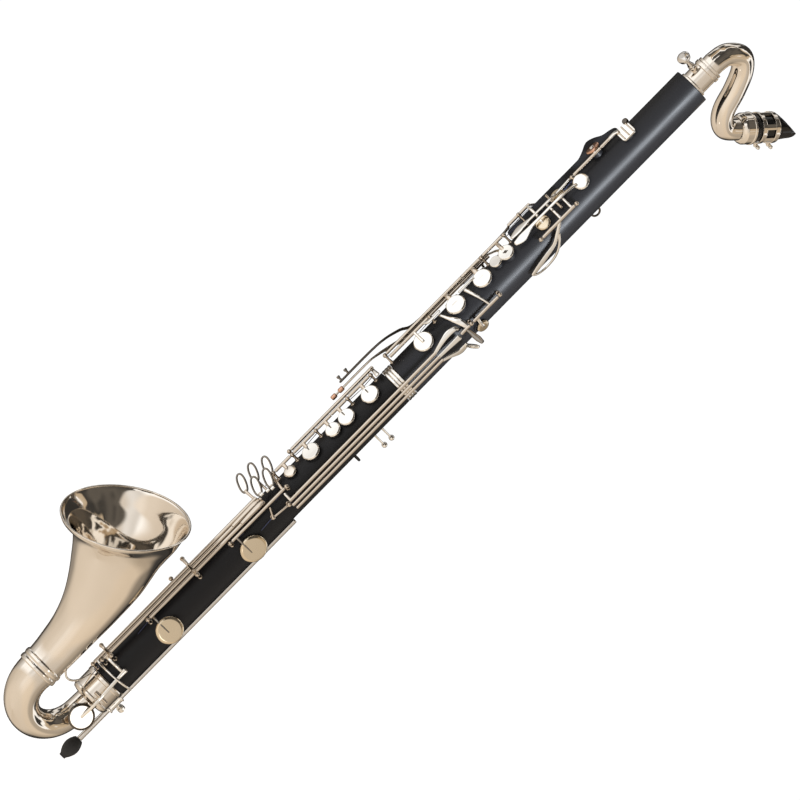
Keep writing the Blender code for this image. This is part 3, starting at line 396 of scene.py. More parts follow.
def paddle(z, angle, radius, length=22.5, width=10, tilt=22, thick=2.2):
    """An oval finger touch with a raised rim round a dished field."""
    middle = at(z, angle, radius)
    turn = radians(tilt)
    along = sideways(TOUCH_FACING) * -cos(turn) + UP * sin(turn)
    normal = outward(TOUCH_FACING)
    normal = (normal - along * normal.dot(along)).normalized()
    across = normal.cross(along)
    field = ((0.03, -0.5), (0.7, -0.5), (0.93, -0.3), (0.93, 0.3), (0.84, 0.14), (0.6, 0.12), (0.03, 0.1))
    rings = []
    for share, level in eased(field, 0.03):
        center = middle + normal * level * thick * MM
        rings.append(circle(center, along, across, length / 2 * share, 44, width / length, 2.3))
    made = skin("plate", rings)
    rings = []
    for c, s in spokes(44, bend=0.87):
        edge = middle + (along * c * (length / 2 - 1) + across * s * (width / 2 - 1)) * MM
        out = (along * c * width + across * s * length).normalized()
        rings.append(circle(edge + normal * 0.1 * thick * MM, out, normal, 1.05, 10))
    # The raised rim is drawn in a darker copy of the key nickel: painted shade outlining the touch.
    return made + skin("smoked", rings, close_ends=False)


def reach(start, z, angle, radius, width=3.2):
    middle = at(z, angle, radius)
    root = middle + (sideways(TOUCH_FACING) * 0.93 + Vector((0, 0, -0.37))) * 8.6 * MM
    points = [start.lerp(root, t) for t in (0, 0.25, 0.5, 0.75, 1)]
    widths = [width, width * 0.9, width * 0.9, width, width * 1.1]
    return strip("rod", points, widths, [1.8] * 5, up=outward(TOUCH_FACING))


def key(node, hinge, shapes, stands_open=0, axis=(0, 0, 1)):
    """The pieces of a key, given with its cup shut and lifted about its hinge where it stands open."""
    center = at(*hinge)
    turn = Matrix.Rotation(radians(-stands_open), 4, Vector(axis))
    group(node, shapes, node, turn=Matrix.Translation(center) @ turn @ Matrix.Translation(-center))


def tube_key(node, low, high, rod, shapes, stands_open=0, thick=1.7):
    """A key on a hinge tube along the bore, given with the tube's angle and radius."""
    key(node, (low, *rod), tube(low, high, *rod, thick) + shapes, stands_open)


# --- Body ---

UPPER_SEATS = (  # z, angle, seat radius
    (330, 9, 6), (264.6, 17, 6), (239, -8, 5.5), (209.7, 21, 5.5), (163.7, 10, 6.5), (150, 6.5, 4.5),
    (129.4, 13.4, 7), (93, 11.5, 7.5), (93, 104, 5), (45, 17, 8.5), (223, -80, 5), (164, -82, 5),
    (136, -102, 5),
)
LOWER_SEATS = (
    (-28.4, 16, 7.5), (-60.3, 13.4, 7), (-78.4, 11, 6.5), (-108.8, 9.5, 7.5), (-137, 5, 5),
    (-215.6, 79, 11.5), (-330, 71, 11),
)
UPPER_POSTS = (  # z, angle, radius of the rod it holds
    (246, 48, 26), (196.5, 48, 26), (130, 68, 26), (90.3, 68, 26), (143.2, -30, 29), (9, -30, 29),
    (66.5, -14, 27), (174.5, -30, 29), (261.2, -7, 25), (199, -41, 31.9), (199, -51, 31.9),
    (130, -66, 29), (130, -76, 29),
)
LOWER_POSTS = (
    (-14.6, -18, 27.5), (-47, -18, 27.5), (-91, -18, 27.5), (-124, -18, 27.5), (-150, 31, 27),
    (-228, 31, 27), (-337.5, 20, 27), (-160.5, 62, 26), (-180.5, 57, 25.5), (-123.8, -34, 29.5),
    (-149.8, -18, 28), (-293.5, -10.5, 29), (-396.9, 9.5, 27.5), (-406.2, -1, 27.5),
)
GUIDES = (  # z, then the angles of the two posts that carry it over the long tubes
    (-272, 30, -19),
    (-387.5, 21, -9),
)
RAIL_OUTLINE = (  # z, radius
    (178, 18.5), (178.5, 26.5), (181, 28.2), (190, 28.5), (270, 28.5), (280, 28.7), (288, 31.5),
    (296, 35), (304, 33), (312, 28.7), (320, 27), (325, 25.5), (327, 23), (327, 18.5),
)


def seat(z, angle, radius):
    foot, bore = BODY_R - 3, radius - 1.3
    profile = ((foot, radius + 1.2), (SEAT_R, radius), (SEAT_R, bore), (foot, bore))
    return turned_ring("resin", at(z, angle, 0), outward(angle), profile, 40, 0.4)


def post(z, angle, radius):
    """A pivot post: a screwed flange, a waisted stem and a ball head with a slotted pivot screw."""
    length = radius - BODY_R
    stem = ((-1, 2.3), (0.5, 2.3), (0.9, 1.5), (length * 0.5, 1.15), (length - 1, 1.3))
    made = turned("rod", at(z, angle, BODY_R), outward(angle), stem, 18, 0.3)
    made += ball("rod", at(z, angle, radius + 0.5), 2.35, outward(angle))
    made += turned("steel", at(z - 2.35, angle, radius + 0.5), UP, ((0, 1.1), (4.7, 1.1)), 14, 0.2)
    return made


def needles(posts):
    """The blued spring wires from the posts towards the keys they return."""
    made = []
    for index, (z, angle, radius) in enumerate(posts):
        way = 1 if index % 2 else -1
        start = at(z + way * 1.2, angle, radius - 2.2)
        end = at(z + way * 17, angle + 3, radius - 2.6)
        made += strip("blued", [start, start.lerp(end, 0.5), end], [0.9, 0.75, 0.6], [0.7, 0.6, 0.5], sides=8)
    return made


def guide(z, low, high):
    """A bridge on two posts that keeps the long hinge tubes from whipping."""
    made = post(z, low, 31) + post(z, high, 33)
    bridge = ((z, low, 31.2, 4, 2), (z, (low + high) / 2, 32, 3.2, 2), (z, high, 33, 4, 2))
    return made + arm(*bridge, spans=8, kind="rod")


def body_joint(node, profile, seats, posts, extra):
    shell = turned_ring("resin", Vector(), UP, profile, 128, 0.7)
    for one in seats:
        extra = extra + seat(*one)
    group(node, shell + extra)
    metal = []
    for one in posts:
        metal += post(*one)
    group(f"{node}_post", metal + needles(posts), replaces=())


def body():
    upper = ((-22, 15), (SHOULDER, 15), (SHOULDER, BODY_R), (BODY_TOP, BODY_R), (BODY_TOP, 13.5),
             (BODY_TOP - 12, 13.5), (BODY_TOP - 12, BORE_R), (-22, BORE_R))
    outline = [at(z, RAIL_ANGLE, radius) for z, radius in smooth(RAIL_OUTLINE, 4)]
    rail = prism("resin", outline, sideways(RAIL_ANGLE), 4.2, 1.3)
    vent = turned("resin", at(*LOWER_VENT, 14), outward(LOWER_VENT[1]), ((0, 6.4), (12.2, 5.4)), 40, 0.6)
    body_joint("upper_joint", upper, UPPER_SEATS, UPPER_POSTS, rail + vent)
    lower = ((BODY_BOTTOM, BODY_R), (-SHOULDER, BODY_R), (-SHOULDER, 16.3), (-23, 16.3), (-23, BORE_R),
             (BODY_BOTTOM, BORE_R))
    stud = turned("resin", at(-82, 180, 18), outward(180), ((0, 1.7), (15, 1.5), (17, 1.2)), 20)
    body_joint("lower_joint", lower, LOWER_SEATS, LOWER_POSTS, stud)
    down = ((-162.5, 61, 26, 2.2, 1.6), (-172, 59, 26.4, 2, 1.6), (-180.5, 57, 26.4, 2.2, 1.6))
    across = ((-181, 58, 26.4, 2.2, 1.6), (-178.5, 48, 27.2, 2, 1.6), (-176, 38.5, 27.6, 2, 1.6))
    group("spring_yoke", arm(*down, kind="rod") + arm(*across, kind="rod"), replaces=())
    for index, one in enumerate(GUIDES, start=1):
        group(f"tube_guide_{index}", guide(*one), replaces=())

    ribs = []
    for middle in (-3.6, 0, 3.6):
        ribs += [(middle - 1.6, BODY_R - 0.1), (middle - 1.1, BODY_R + 0.3), (middle + 1.1, BODY_R + 0.3),
                 (middle + 1.6, BODY_R - 0.1)]
    group("middle_ring", turned_ring("plate", Vector(), UP, ribs + [(5.2, 16.4), (-5.2, 16.4)], 96, 0.3))
    cork = ((-19, 15.9), (-7, 15.9), (-7, 15.2), (-19, 15.2))
    group("tenon", turned_ring("cork", Vector(), UP, cork, 64, 0.2), replaces=["tenon_cork"])


# --- Neck and mouthpiece ---

NECK_PATH = (  # y, z
    (0, 397.5), (0, 432), (0.2, 442), (4.5, 454.5), (19.5, 463.3), (33.5, 455), (44.5, 436.5),
    (52.5, 417), (61.5, 407), (72.3, 404.2), (83.4, 411.5),
)
MOUTH_AXIS = Vector((0, cos(MOUTH_TILT), sin(MOUTH_TILT)))
MOUTH_UP = Vector((0, -sin(MOUTH_TILT), cos(MOUTH_TILT)))


def mouth_point(along, above=0, aside=0):
    return yz(*MOUTH_BASE) + (MOUTH_AXIS * along + MOUTH_UP * above + ASIDE * aside) * MM


def table_at(along):
    return -10.6 + 4.6 * (along - TABLE_HEEL) / (MOUTH_LENGTH - TABLE_HEEL)


def neck():
    low = BODY_TOP - 11.5
    slot = NECK_R + GAP
    receiver = ((low, 13.2), (BODY_TOP, 13.2), (BODY_TOP + 0.2, 14.6), (BODY_TOP + 2.4, 14.6),
                (BODY_TOP + 2.8, 13.2), (426.6, 13.2), (427, 14.3), (431, 14.3), (431, slot), (low, slot))
    boss = turned("shell", yz(-12.3, 421), Vector((0, -1, 0)), ((0, 3.6), (4.6, 3.4), (5.5, 2.6)), 32)
    group("neck_receiver", turned_ring("shell", Vector(), UP, receiver, 96) + boss)

    path = [yz(*p) for p in smooth(NECK_PATH, 10)]
    tube_shape = pipe("shell", path, [NECK_R] * len(path), 1.3, 64)
    collar = ((431.6, NECK_R + 0.1), (431.6, 13.6), (434.4, 13.6), (434.4, NECK_R + 0.1))
    group("neck_tube", tube_shape + turned_ring("shell", Vector(), UP, collar, 96), "neck")
    wide = MOUTH_R + 0.7
    bore = MOUTH_R - 1.4
    end = SOCKET_LENGTH
    socket = ((2.5, NECK_R + 0.3), (3.4, 13.2), (5.4, 14.9), (7.5, wide), (end - 2.4, wide),
              (end - 2, wide + 0.7), (end, wide + 0.7), (end, bore), (4.8, bore), (4.8, NECK_R + 0.2),
              (2.5, NECK_R + 0.1))
    group("mouthpiece_socket", turned_ring("shell", yz(*MOUTH_BASE), MOUTH_AXIS, socket, 96), "neck")

    start = yz(-12, 421)
    way = Vector((0, -1, 0))
    stem = turned("steel", start, way, ((0, 1.5), (6, 1.5), (6.4, 3.7), (8.4, 3.7), (9, 3.2), (17, 1.3)), 28)
    knob = ((17.4, 2.6), (18.4, 5.4), (19.6, 6.2), (20.8, 6), (21.4, 6.8), (23.6, 6.8), (24.8, 5.2),
            (25.4, 3.4))
    stem += turned("steel", start, way, knob, 40, 0.5)
    group("neck_screw", stem, "neck_screw")


def mouthpiece():
    """The beak is the turned body with its top cut to a slope and its underside to the reed's table."""
    start = SOCKET_LENGTH + GAP
    bore = MOUTH_R - 2.3
    profile = eased(((6, 5), (6, bore - 0.6), (start, bore - 0.6), (start, MOUTH_R), (start + 3.4, MOUTH_R),
                     (start + 4.2, 14.2), (49, 13.8), (60, 13.2), (66, 11.6), (MOUTH_LENGTH - 1.5, 9.4),
                     (MOUTH_LENGTH, 8.2)), 0.6, steps=4)
    stations = []
    for (a, r), (b, s) in zip(profile, profile[1:]):
        steps = max(1, int(abs(b - a) / 1.5))
        stations += [(a + (b - a) * i / steps, r + (s - r) * i / steps) for i in range(steps)]
    stations.append(profile[-1])
    rings = []
    for along, radius in stations:
        ring = []
        slope = 14.2 - 19 * max(0, (along - BEAK) / (MOUTH_LENGTH - BEAK)) ** 1.15
        for c, s in spokes(72):
            across, above = radius * c, radius * s
            if along > BEAK:
                above = min(above, slope - (across / 13) ** 2 * 1.6)
            if along > TABLE_HEEL:
                above = max(above, table_at(along))
            ring.append(mouth_point(along, above, across))
        rings.append(ring)
    group("mouthpiece", skin("ebonite", rings), "mouthpiece")
    cork = ((8, bore + 0.1), (15, bore + 0.1), (15, bore - 0.6), (8, bore - 0.6))
    tenon = turned_ring("cork", yz(*MOUTH_BASE), MOUTH_AXIS, cork, 64, 0.2)
    group("mouthpiece_tenon", tenon, "mouthpiece", ["mouthpiece_cork"])

    rings = []
    heel, tip = 27.5, MOUTH_LENGTH - 0.5
    for i in range(25):
        along = heel + (tip - heel) * i / 24
        top = table_at(along) - 0.15
        thick = 2.3 if along < BEAK else 2.3 - 2.05 * (along - BEAK) / (tip - BEAK)
        thick *= min(1, 0.45 + i / 4)
        half = 6.2 if i < 23 else 6.2 * (0.93 if i == 23 else 0.8)
        ring = [mouth_point(along, top, -half), mouth_point(along, top, half)]
        for k in range(9):
            turn = pi * (k + 0.5) / 9
            ring.append(mouth_point(along, top - thick * (0.35 + 0.65 * sin(turn)), half * cos(turn)))
        rings.append(ring)
    group("reed", skin("cane", rings), "mouthpiece")


def arc_bar(kind, low, high, radius, from_turn, to_turn, thick=1, steps=10):
    """Part of a sleeve round the mouthpiece's axis, from one angle to another in degrees."""
    rings = []
    for i in range(steps + 1):
        turn = radians(from_turn + (to_turn - from_turn) * i / steps)
        c, s = cos(turn), sin(turn)
        ring = []
        for along, r in ((low, radius), (high, radius), (high, radius + thick), (low, radius + thick)):
            ring.append(mouth_point(along, r * s, r * c))
        rings.append(ring)
    return skin(kind, rings)


def ligature():
    shapes = []
    for low, high in ((24.5, 29.8), (39.6, 45.2)):
        band = ((low, 14.8), (low, 15.9), (low + 0.8, 16), (high - 0.8, 15.8), (high, 15.6), (high, 14.7))
        shapes += turned_ring("shell", yz(*MOUTH_BASE), MOUTH_AXIS, band, 72, 0.25)
    for middle in (28, 90, 152, 205, 335):
        shapes += arc_bar("shell", 29, 40.4, 14.8, middle - 10, middle + 10)
    for along in (27.2, 42.4):
        for aside in (-4, 4):
            lug = ((0, 2.2), (2.8, 2.2), (4, 1.6))
            shapes += turned("shell", mouth_point(along, -15, aside), -MOUTH_UP, lug, 20, 0.6)
    group("ligature", shapes, "mouthpiece")
    for index, along in enumerate((27.2, 42.4), start=1):
        start = mouth_point(along, -17.4, -9.5)
        rod = turned("steel", start, ASIDE, ((0, 0.8), (17, 0.8)), 14, 0.1)
        head = ((15.6, 1.3), (16.4, 2), (19.6, 2), (20.4, 1.3))
        node = f"ligature_screw_{index}"
        group(node, turned("plate", start, ASIDE, head, 12, 0.2) + rod, node)


# --- Bell, bow, floor peg and fittings ---

BELL_PATH = (  # y, z, outer radius
    (-75.6, -442.4, 20.4), (-75.6, -433, 20.6), (-76.6, -417, 21.7), (-79.6, -391.2, 24.3),
    (-85.9, -363.9, 29.8), (-97.5, -333.9, 38.2), (-112.1, -307.4, 45.5), (-123.2, -290.4, 55.5),
    (-132.7, -279.9, 64.5),
)
BOW_Z = -442.7
BOW_Y = (-1.5, -75.6)
BOW_LEG = 9.3
BOW_DROP = 35.5


def bell_end():
    low = -436
    top = BODY_BOTTOM - GAP
    bore = BORE_R + 0.7
    ferrule = ((low, 13.2), (low, 15.4), (low + 1.2, 19.4), (low + 3, 20.7), (low + 4.4, 21.2),
               (low + 6.4, 21.2), (low + 7, 20.4), (top - 5.2, 20.4), (top - 4.6, 21.1), (top - 1.2, 21.1),
               (top, 20.3), (top, bore), (low + 3, bore))
    group("bell_ferrule", turned_ring("shell", Vector(), UP, ferrule, 96))

    mid = sum(BOW_Y) / 2
    half = (BOW_Y[0] - BOW_Y[1]) / 2
    steps = 44
    path = [yz(BOW_Y[0], low - GAP - 0.1 - 2.1 * i) for i in range(8)]
    for i in range(steps + 1):
        t = pi * i / steps
        path.append(yz(mid + half * cos(t), BOW_Z - BOW_LEG - BOW_DROP * sin(t)))
    path += [yz(BOW_Y[1], BOW_Z - 6), yz(BOW_Y[1], BOW_Z - 3), yz(BOW_Y[1], BOW_Z)]
    outer = [12 + 8 * (i / (len(path) - 1)) ** 1.2 for i in range(len(path))]
    bow = pipe("shell", path, outer, BELL_WALL, 72)
    chimney = ((8.6, 9.3), (8.6, 11.5), (16.4, 10.5), (17.2, 10.5), (17.2, 9.3))
    bow += turned_ring("shell", at(*BOW_HOLE, 0), outward(BOW_HOLE[1]), chimney, 64)
    group("bell_bow", bow)

    end = yz(BOW_Y[1], BOW_Z)
    band = ((-6, 20.6), (-5, 21.8), (-1.6, 21.8), (-0.8, 21.2), (1.2, 21.2), (2, 21.9), (5.4, 21.9),
            (6.4, 21.2), (6.8, 20.8))
    group("bow_ring", turned_ring("shell", end, UP, band, 96, 0.7))

    dense = smooth(BELL_PATH, 9)
    path = [yz(y, z) for y, z, r in dense]
    outer = [r for y, z, r in dense]
    bell = pipe("shell", path, outer, BELL_WALL, 128)
    rim, along = path[-1], tangents(path)[-1]
    other = along.cross(ASIDE)
    bead = []
    for c, s in spokes(12, 0):
        bead.append(circle(rim + along * 1.1 * s * MM, ASIDE, other, outer[-1] - 1.1 + 1.1 * c, 128))
    bell += skin("shell", bead, close_ends=False)
    group("bell", bell)

    route = ((-21.6, -415), (-26, -425.5), (-33, -432), (-41, -433), (-48.5, -428), (-53.3, -420))
    points = [yz(*p) for p in smooth(route, 6)]
    brace = strip("plate", points, [2.2] * len(points), [2.2] * len(points), up=ASIDE, power=2)
    group("bell_brace", brace)


def fittings():
    down = Vector((0, 0, -1))
    back = Vector((0, 1, 0))
    sleeve = ((0, 3.3), (0, 5.2), (1.6, 5.2), (2.2, 4.5), (15.6, 4.5), (16.2, 5.2), (18, 5.2), (18, 3.3))
    socket = turned_ring("plate", yz(PEG_Y, -412), down, sleeve, 40, 0.3)
    socket += turned("plate", yz(21, -422), back, ((0, 6.5), (1.4, 6.5), (2, 4.2), (5, 4)), 32, 0.4)
    group("peg_socket", socket)
    peg = ((0, 2.4), (1, 3), (302, 3))
    group("floor_peg", turned("steel", yz(PEG_Y, -168), down, peg, 28, 0.6), "floor_peg")
    shares = [i / 14 for i in range(15)]
    tip = [(t * 24, 3.6 + 4.6 * sin(pi * min(1, t * 1.05 + 0.04)) ** 0.8) for t in shares]
    group("peg_tip", turned("rubber", yz(PEG_Y, PEG_FOOT - 0.3), down, tip, 40, 0.5), "floor_peg")
    start = yz(PEG_Y + 3.8, -420.5)
    knob = ((0, 1.2), (4.4, 1.2), (4.9, 3.4), (5.4, 4), (9.6, 4), (10.3, 3))
    group("peg_screw", turned("plate", start, back, knob, 20, 0.3), "peg_screw")

    plate = arm((-54, 180, 20.4, 9, 1.6), (-50, 180, 20.6, 12), (-38, 180, 20.6, 12),
                (-34, 180, 20.4, 9, 1.6))
    for z, root in ((-44, -44), (-53.9, -50)):
        points = [at(root, 180, 20.6), at(z, 180, 26), at(z, 180, 34), at(z, 180, 42.5)]
        plate += strip("plate", points, [3.2, 2.4, 2.2, 2], [3.2, 2.4, 2.2, 2], up=UP, power=2)
        plate += ball("plate", at(z, 180, 44), 3)
    group("thumb_rest", plate)

    plate = arm((245, 180, 20.2, 6, 1.6), (254.8, 180, 20.4, 9, 1.9), (264, 180, 20.2, 6, 1.6))
    rings = []
    center = at(254.8, 180, 26.4)
    for c, s in spokes(32, 0):
        out = Vector((0, c, s))
        rings.append(circle(center + out * 4.8 * MM, out, ASIDE, 1.1, 14))
    group("strap_ring", plate + skin("dark", rings, close_ends=False))


# --- Keys ---


def ridged_block(z, angle):
    """The square top of the upper vent key: a shut pad under a block with three ribs across it."""
    way, side = outward(angle), sideways(angle)
    start = at(z, angle, CLOSED)
    made = turned("leather", start, way, ((0, 6), (0.4, 6.8), (1.3, 6.8)), 40, 0.3)
    rings = []
    for level, half in eased(((0.9, 7), (0.9, 8.2), (3.4, 8.2), (3.4, 7)), 0.5):
        rings.append(circle(start + way * level * MM, UP, side, half, 48, 1, 7))
    made += skin("plate", rings)
    for offset in (-5.6, 0, 5.6):
        middle = start + UP * offset * MM + way * 3.6 * MM
        ends = side * 6.4 * MM
        made += strip("rod", [middle - ends, middle, middle + ends], [1.7] * 3, [1.8] * 3, up=way)
    foot = start + UP * 7 * MM - side * 8.6 * MM
    made += turned("dark", foot + way * 1.4 * MM, way, ((0, 3.2), (3, 3.2), (3.8, 2.4)), 24)
    return made


def vent_keys():
    rod = (-7, 26)
    tube_key("upper_vent_key", 302, 321, rod,
        ridged_block(330, 9)
        + arm((314, -7, 26.6, 3.6, 2), (320, -6, 27, 4, 2), (325, -3, 26.6, 4.4, 2)))
    tube_key("lower_vent_key", 264.2, 301.2, rod,
        cup(*LOWER_VENT, 8.2, 2.8, "rose", base=26.5)
        + arm((294, -7, 26.6, 3.6), (295, -15, 28.6, 3.4), (296, -23, 29.8, 5)))
    tube_key("register_lever", 199.5, 243, (48, 27),
        arm((240, 48, 26.6, 3.2), (240, 32, 26, 2.6, 1.6), (240, 19, 25.8, 2.6, 1.6))
        + arm((225, 48, 26.4, 3.2), (225, 30, 25, 2.6, 1.6), (225, 8, 24.2, 2.6, 1.6),
              (225, -14, 24.2, 2.8, 1.6))
        + arm((222, 49, 27, 3, 2), (212, 64, 26.2, 3.8, 2), (202, 77, 26, 3.8, 2), (190, 83, 26, 5, 2),
              (177, 89, 26, 5.4, 2), (167, 94, 26, 4, 2))
        + arm((213, 67, 26.2, 2.6), (205, 88, 26, 2.6), (194, 105, 26, 2.8), (182, 110, 26, 2.8),
              (172, 105, 26, 2.4), (167, 96, 26, 2.2)))


def throat_keys():
    hinge = (233, 14.4, 27.2)
    key("throat_a_key", hinge,
        barrel(*hinge, -2.4, 9, 1.4) + cup(264.6, 17, 8.8)
        + arm((259, 16.4, 25, 3.4, 2), (254, 15.5, 26.6, 3, 2), (240, 14.4, 28.6, 3.2, 2),
              (215, 14.4, 28.9, 2.6), (200, 14.4, 28.6, 4), (186, 18, 28.2, 9), (176.5, 16, 28, 5)))
    hinge = (231, -3.5, 26.6)
    key("throat_gsharp_key", hinge,
        barrel(*hinge, -9, 3.2, 1.4) + cup(239, -8, 8, 2.8, "pad_cup")
        + arm((258, -7.5, 26.4, 2.4), (240, -6, 25.6, 3.4, 2.6), (231, -3.5, 27.2, 3.2, 2),
              (206, -3.5, 27.6, 2.6), (199, -5, 27.4, 5), (188, -7, 27.2, 9), (178, -4, 27, 4.5)))


def wing(z, angle):
    """The tab that makes a finger plateau pear-shaped, and the arm from it to the hinge tube."""
    top = CLOSED + 2.6
    return (arm((z, -30, 29.4, 4.6, 2), (z, -19, 28, 4.6, 2), (z, -10, 25.6, 6, 2), kind="rod")
            + arm((z, -9.5, top + 0.2, 16, 1.2), (z, -4, top, 17, 1.2), (z, angle, top, 16, 1.2), spans=3))


def left_stack():
    rod = (-30, 30)
    vent = ((0, 0.9), (0.8, 0.9), (0.8, 1.7), (0, 1.7))
    low, high = CLOSED + 1.4, CLOSED + 3.3
    tube_key("half_hole_key", 145.6, 172, rod,
        cup(163.7, 10, 8.8, top="dish") + cup(150.2, 6.5, 6.8, 3, top="dish")
        + arm((157.5, 8, low, 8, 2.2), (153.5, 7, low, 8, 2.2))
        + arm((163.7, -30, 28.9, 4, 2), (163.7, -10, 26, 4, 2), (163.7, 4, CLOSED + 1.6, 5, 2), kind="rod")
        + turned_ring("dark", at(163.7, 10, CLOSED + 2.6), outward(10), vent, 24, 0.2)
        + arm((166, 12, high, 0.9, 0.7), (161.4, 8, high, 0.9, 0.7), spans=2, kind="dark"), STANDS_OPEN)
    tube_key("lh_plateau_2", 116.4, 140.8, rod,
        cup(129.4, 14, 10.4, top="dish") + wing(129.4, 13.4)
        + arm((125, -1, 24.3, 2.2, 1.6), (120, -1.2, 26, 2.2, 1.6), (104, -1.5, 26.4, 2.2, 1.6)),
        STANDS_OPEN)
    tube_key("lh_plateau_3", 11.6, 115.6, rod, cup(93, 12.5, 10.8, top="dish") + wing(93, 11.5), STANDS_OPEN)
    tube_key("csharp_key", 11.6, 64, (-14, 28),
        cup(45, 17, 10.6, top="dish")
        + arm((45, -14, 28.4, 3.2), (45, 2, 26, 3.2), (45, 17, 25.2, 3.6))
        + arm((58, -13, 28, 3, 2), (62, -3, 28.2, 3.4, 2), (77, -2.4, 28.2, 3, 1.6)))


def left_levers():
    tube_key("lh_cross_key", 93.4, 127, (68, 27),
        arm((116.6, 66, 27, 2.8), (114.5, 45, 26.6, 2.6), (111.5, 22, 26.6, 3.2), (109.8, 4, 26.4, 4.2))
        + cup(97, 104, 6.9, 2.8, "pad_cup")
        + arm((98, 70, 26.6, 3.2), (97, 88, 25.2, 3.2), (97, 101, 24.4, 3.6)))
    tube_key("csharp_lever", 76, 87.6, (68, 27),
        arm((85.5, 66, 27, 4), (83.5, 48, 26, 6.4), (78, 22, 25.2, 3.6, 1.6), (74.5, -1, 25.2, 2.6, 1.6))
        + bar("smoked", ((83, 70, 27, 3, 2), (83.6, 76, 31, 4, 2.2), (84, 81, 36, 5.8, 2.6),
                         (84.6, 84.5, 41, 6.2, 2.6), (85, 87, 46, 4.4, 2.2)), (0.3, 0.6, 0)))
    tube_key("lh_pinky_1", -157.5, 46, (57, 27),
        arm((44, 57, 27.2, 3, 2), (56, 51, 27.8, 4.4, 2), (67, 47.5, 28, 5.8, 2), (75, 50, 28, 4.6, 2),
            (77, 55, 27.8, 2.4, 1.6))
        + arm((-156, 56, 27, 3.6, 2), (-156, 40, 27.4, 3, 2)))
    tube_key("lh_pinky_2", -158.5, 46, (68, 27),
        arm((44, 68, 27.4, 3.4, 2), (58, 68.5, 28, 4.2, 2), (72.5, 69, 28.4, 5.6, 2)))
    tube_key("lh_pinky_3", -157.5, 46, (79, 27),
        arm((44, 79, 27.2, 3, 2), (54, 86, 27.8, 4.4, 2), (64, 95, 28.4, 6.2, 2), (73, 92, 29, 5, 2))
        + bar("plate", ((71.5, 92, 29, 3.6, 1.8), (73.4, 91, 33, 4.2, 2), (75, 90, 37, 4.8, 2),
                        (77.2, 89, 42, 4.6, 2), (79, 88, 46.5, 3.4, 1.8)), (0.3, 0.6, 0.2)))


SIDE_KEYS = (  # number, touch angle and radius, lever angle, tube low, high and radius, z of the end,
    # then the pad's arm and its cup's z, angle, radius and height
    (1, -38, 42.2, -46, 184, 214, 32.4, -28.4,
     ((211, -41, 32.6, 3), (211, -25, 29, 2.8), (211, -12, 25, 2.8), (210.5, 2, 23.4, 2.8, 1.6),
      (209.7, 20, 23.6, 3.4)), (209.7, 21, 7.8, 2.2)),
    (2, -49, 42.2, -56, 184, 214, 32.4, -38.2,
     ((212.5, -51, 32.6, 3), (220, -66, 28.5, 2.8), (223, -80, 24.4, 3.2)), (223, -80, 7, 2.4)),
    (3, -37, 36.3, -66, 110, 150, 29.5, -45,
     ((148, -66, 29.8, 3), (158, -72, 27, 2.8), (164, -82, 24.4, 3.2)), (164, -82, 7, 2.4)),
    (4, -48, 36.3, -76, 110, 150, 29.5, -54.9,
     ((140, -76, 29.8, 3), (138, -90, 27, 2.8), (136, -102, 24.4, 3.2)), (136, -102, 7, 2.4)),
)


def side_keys():
    for number, touch, radius, lever, low, high, rod, end, stations, pad in SIDE_KEYS:
        shapes = arm(*stations) + cup(*pad, "pad_cup")
        if number < 3:
            hinge = lever + 5
            # The long levers of side keys 1 and 2 are near-black copies of the key nickel: painted shade.
            shapes += tube(low, high, hinge, rod, 1.5) + arm(
                (low + 2, hinge, rod, 3, 2), (low - 12, lever, 30.2, 3.2, 2), (100, lever, 30, 3.2, 2),
                (52, lever, 30.5, 4, 2), (37, (lever + touch) / 2, 36.5, 5, 2.2),
                (20, touch, radius - 1.4, 6.2, 2.2), (0, touch, radius, 6.6, 2.2),
                (end - 1.6, touch, radius, 5.6, 2.2), kind="dark")
            peg = ((0, 1.3), (4.6, 1.2), (5, 2), (7, 1.8))
            shapes += turned("smoked", at(end, touch, radius - 1), outward(touch), peg, 16)
        else:
            hinge = lever
            shapes += tube(low, high, hinge, rod, 1.5) + arm(
                (low + 2, lever, rod, 3, 2), (60, lever, 29.6, 3.2, 2), (38, lever, 29.8, 3.6, 2),
                (20, (lever + touch) / 2, 32, 4.2, 2), (4, touch - 3, 35, 4.6, 2),
                (-10, touch, radius, 4.6, 2), (end + 2, touch, radius, 4, 2), kind="rod")
            sleeve = ((0, 1.8), (1, 2.5), (5.4, 2.5), (6.4, 1.8))
            shapes += turned("rose", at(end - 3.2, touch, radius), UP, sleeve, 24)
        key(f"side_key_{number}", ((low + high) / 2, hinge, rod), shapes)


def right_stack():
    rod = (-18, 28.5)
    top = CLOSED + 3.2
    plateaus = (  # name, tube low and high, cup z, angle, radius, lift at rest
        ("rh_plateau_1", -44.4, -17.2, -28.4, 16, 9.8, STANDS_OPEN),
        ("rh_plateau_2", -69, -49.6, -60.3, 13.4, 9.3, STANDS_OPEN),
        ("rh_vent_key", -88.4, -69.8, -78.4, 11, 8.3, STANDS_OPEN),
        ("rh_plateau_3", -121.4, -93.6, -108.8, 9.5, 9.8, STANDS_OPEN),
        ("rh_sliver_key", -147, -126.6, -137, 5, 6.9, 0),
    )
    for name, low, high, z, angle, radius, lift in plateaus:
        look = ("plate", "dish") if lift else ("shell", "dome")
        tube_key(name, low, high, rod,
            cup(z, angle, radius, 3.2, *look)
            + arm((z, -18, 28.6, 4.4, 2), (z, -6, top + 0.6, 3.6, 2), kind="rod")
            # The thin arm across each cup is a darker copy of the key nickel: painted shade.
            + arm((z, -7, top + 0.6, 2, 1.4), (z, angle - 6, top + 0.2, 1.3, 1.2), kind="smoked"), lift)
    tube_key("bridge_key", -121, -7.4, (-34, 30),
        arm((-9.6, -33, 30, 3.6, 2), (-9.6, -20, 28.4, 3.6, 2), (-9.6, -4, 27, 5, 2)))


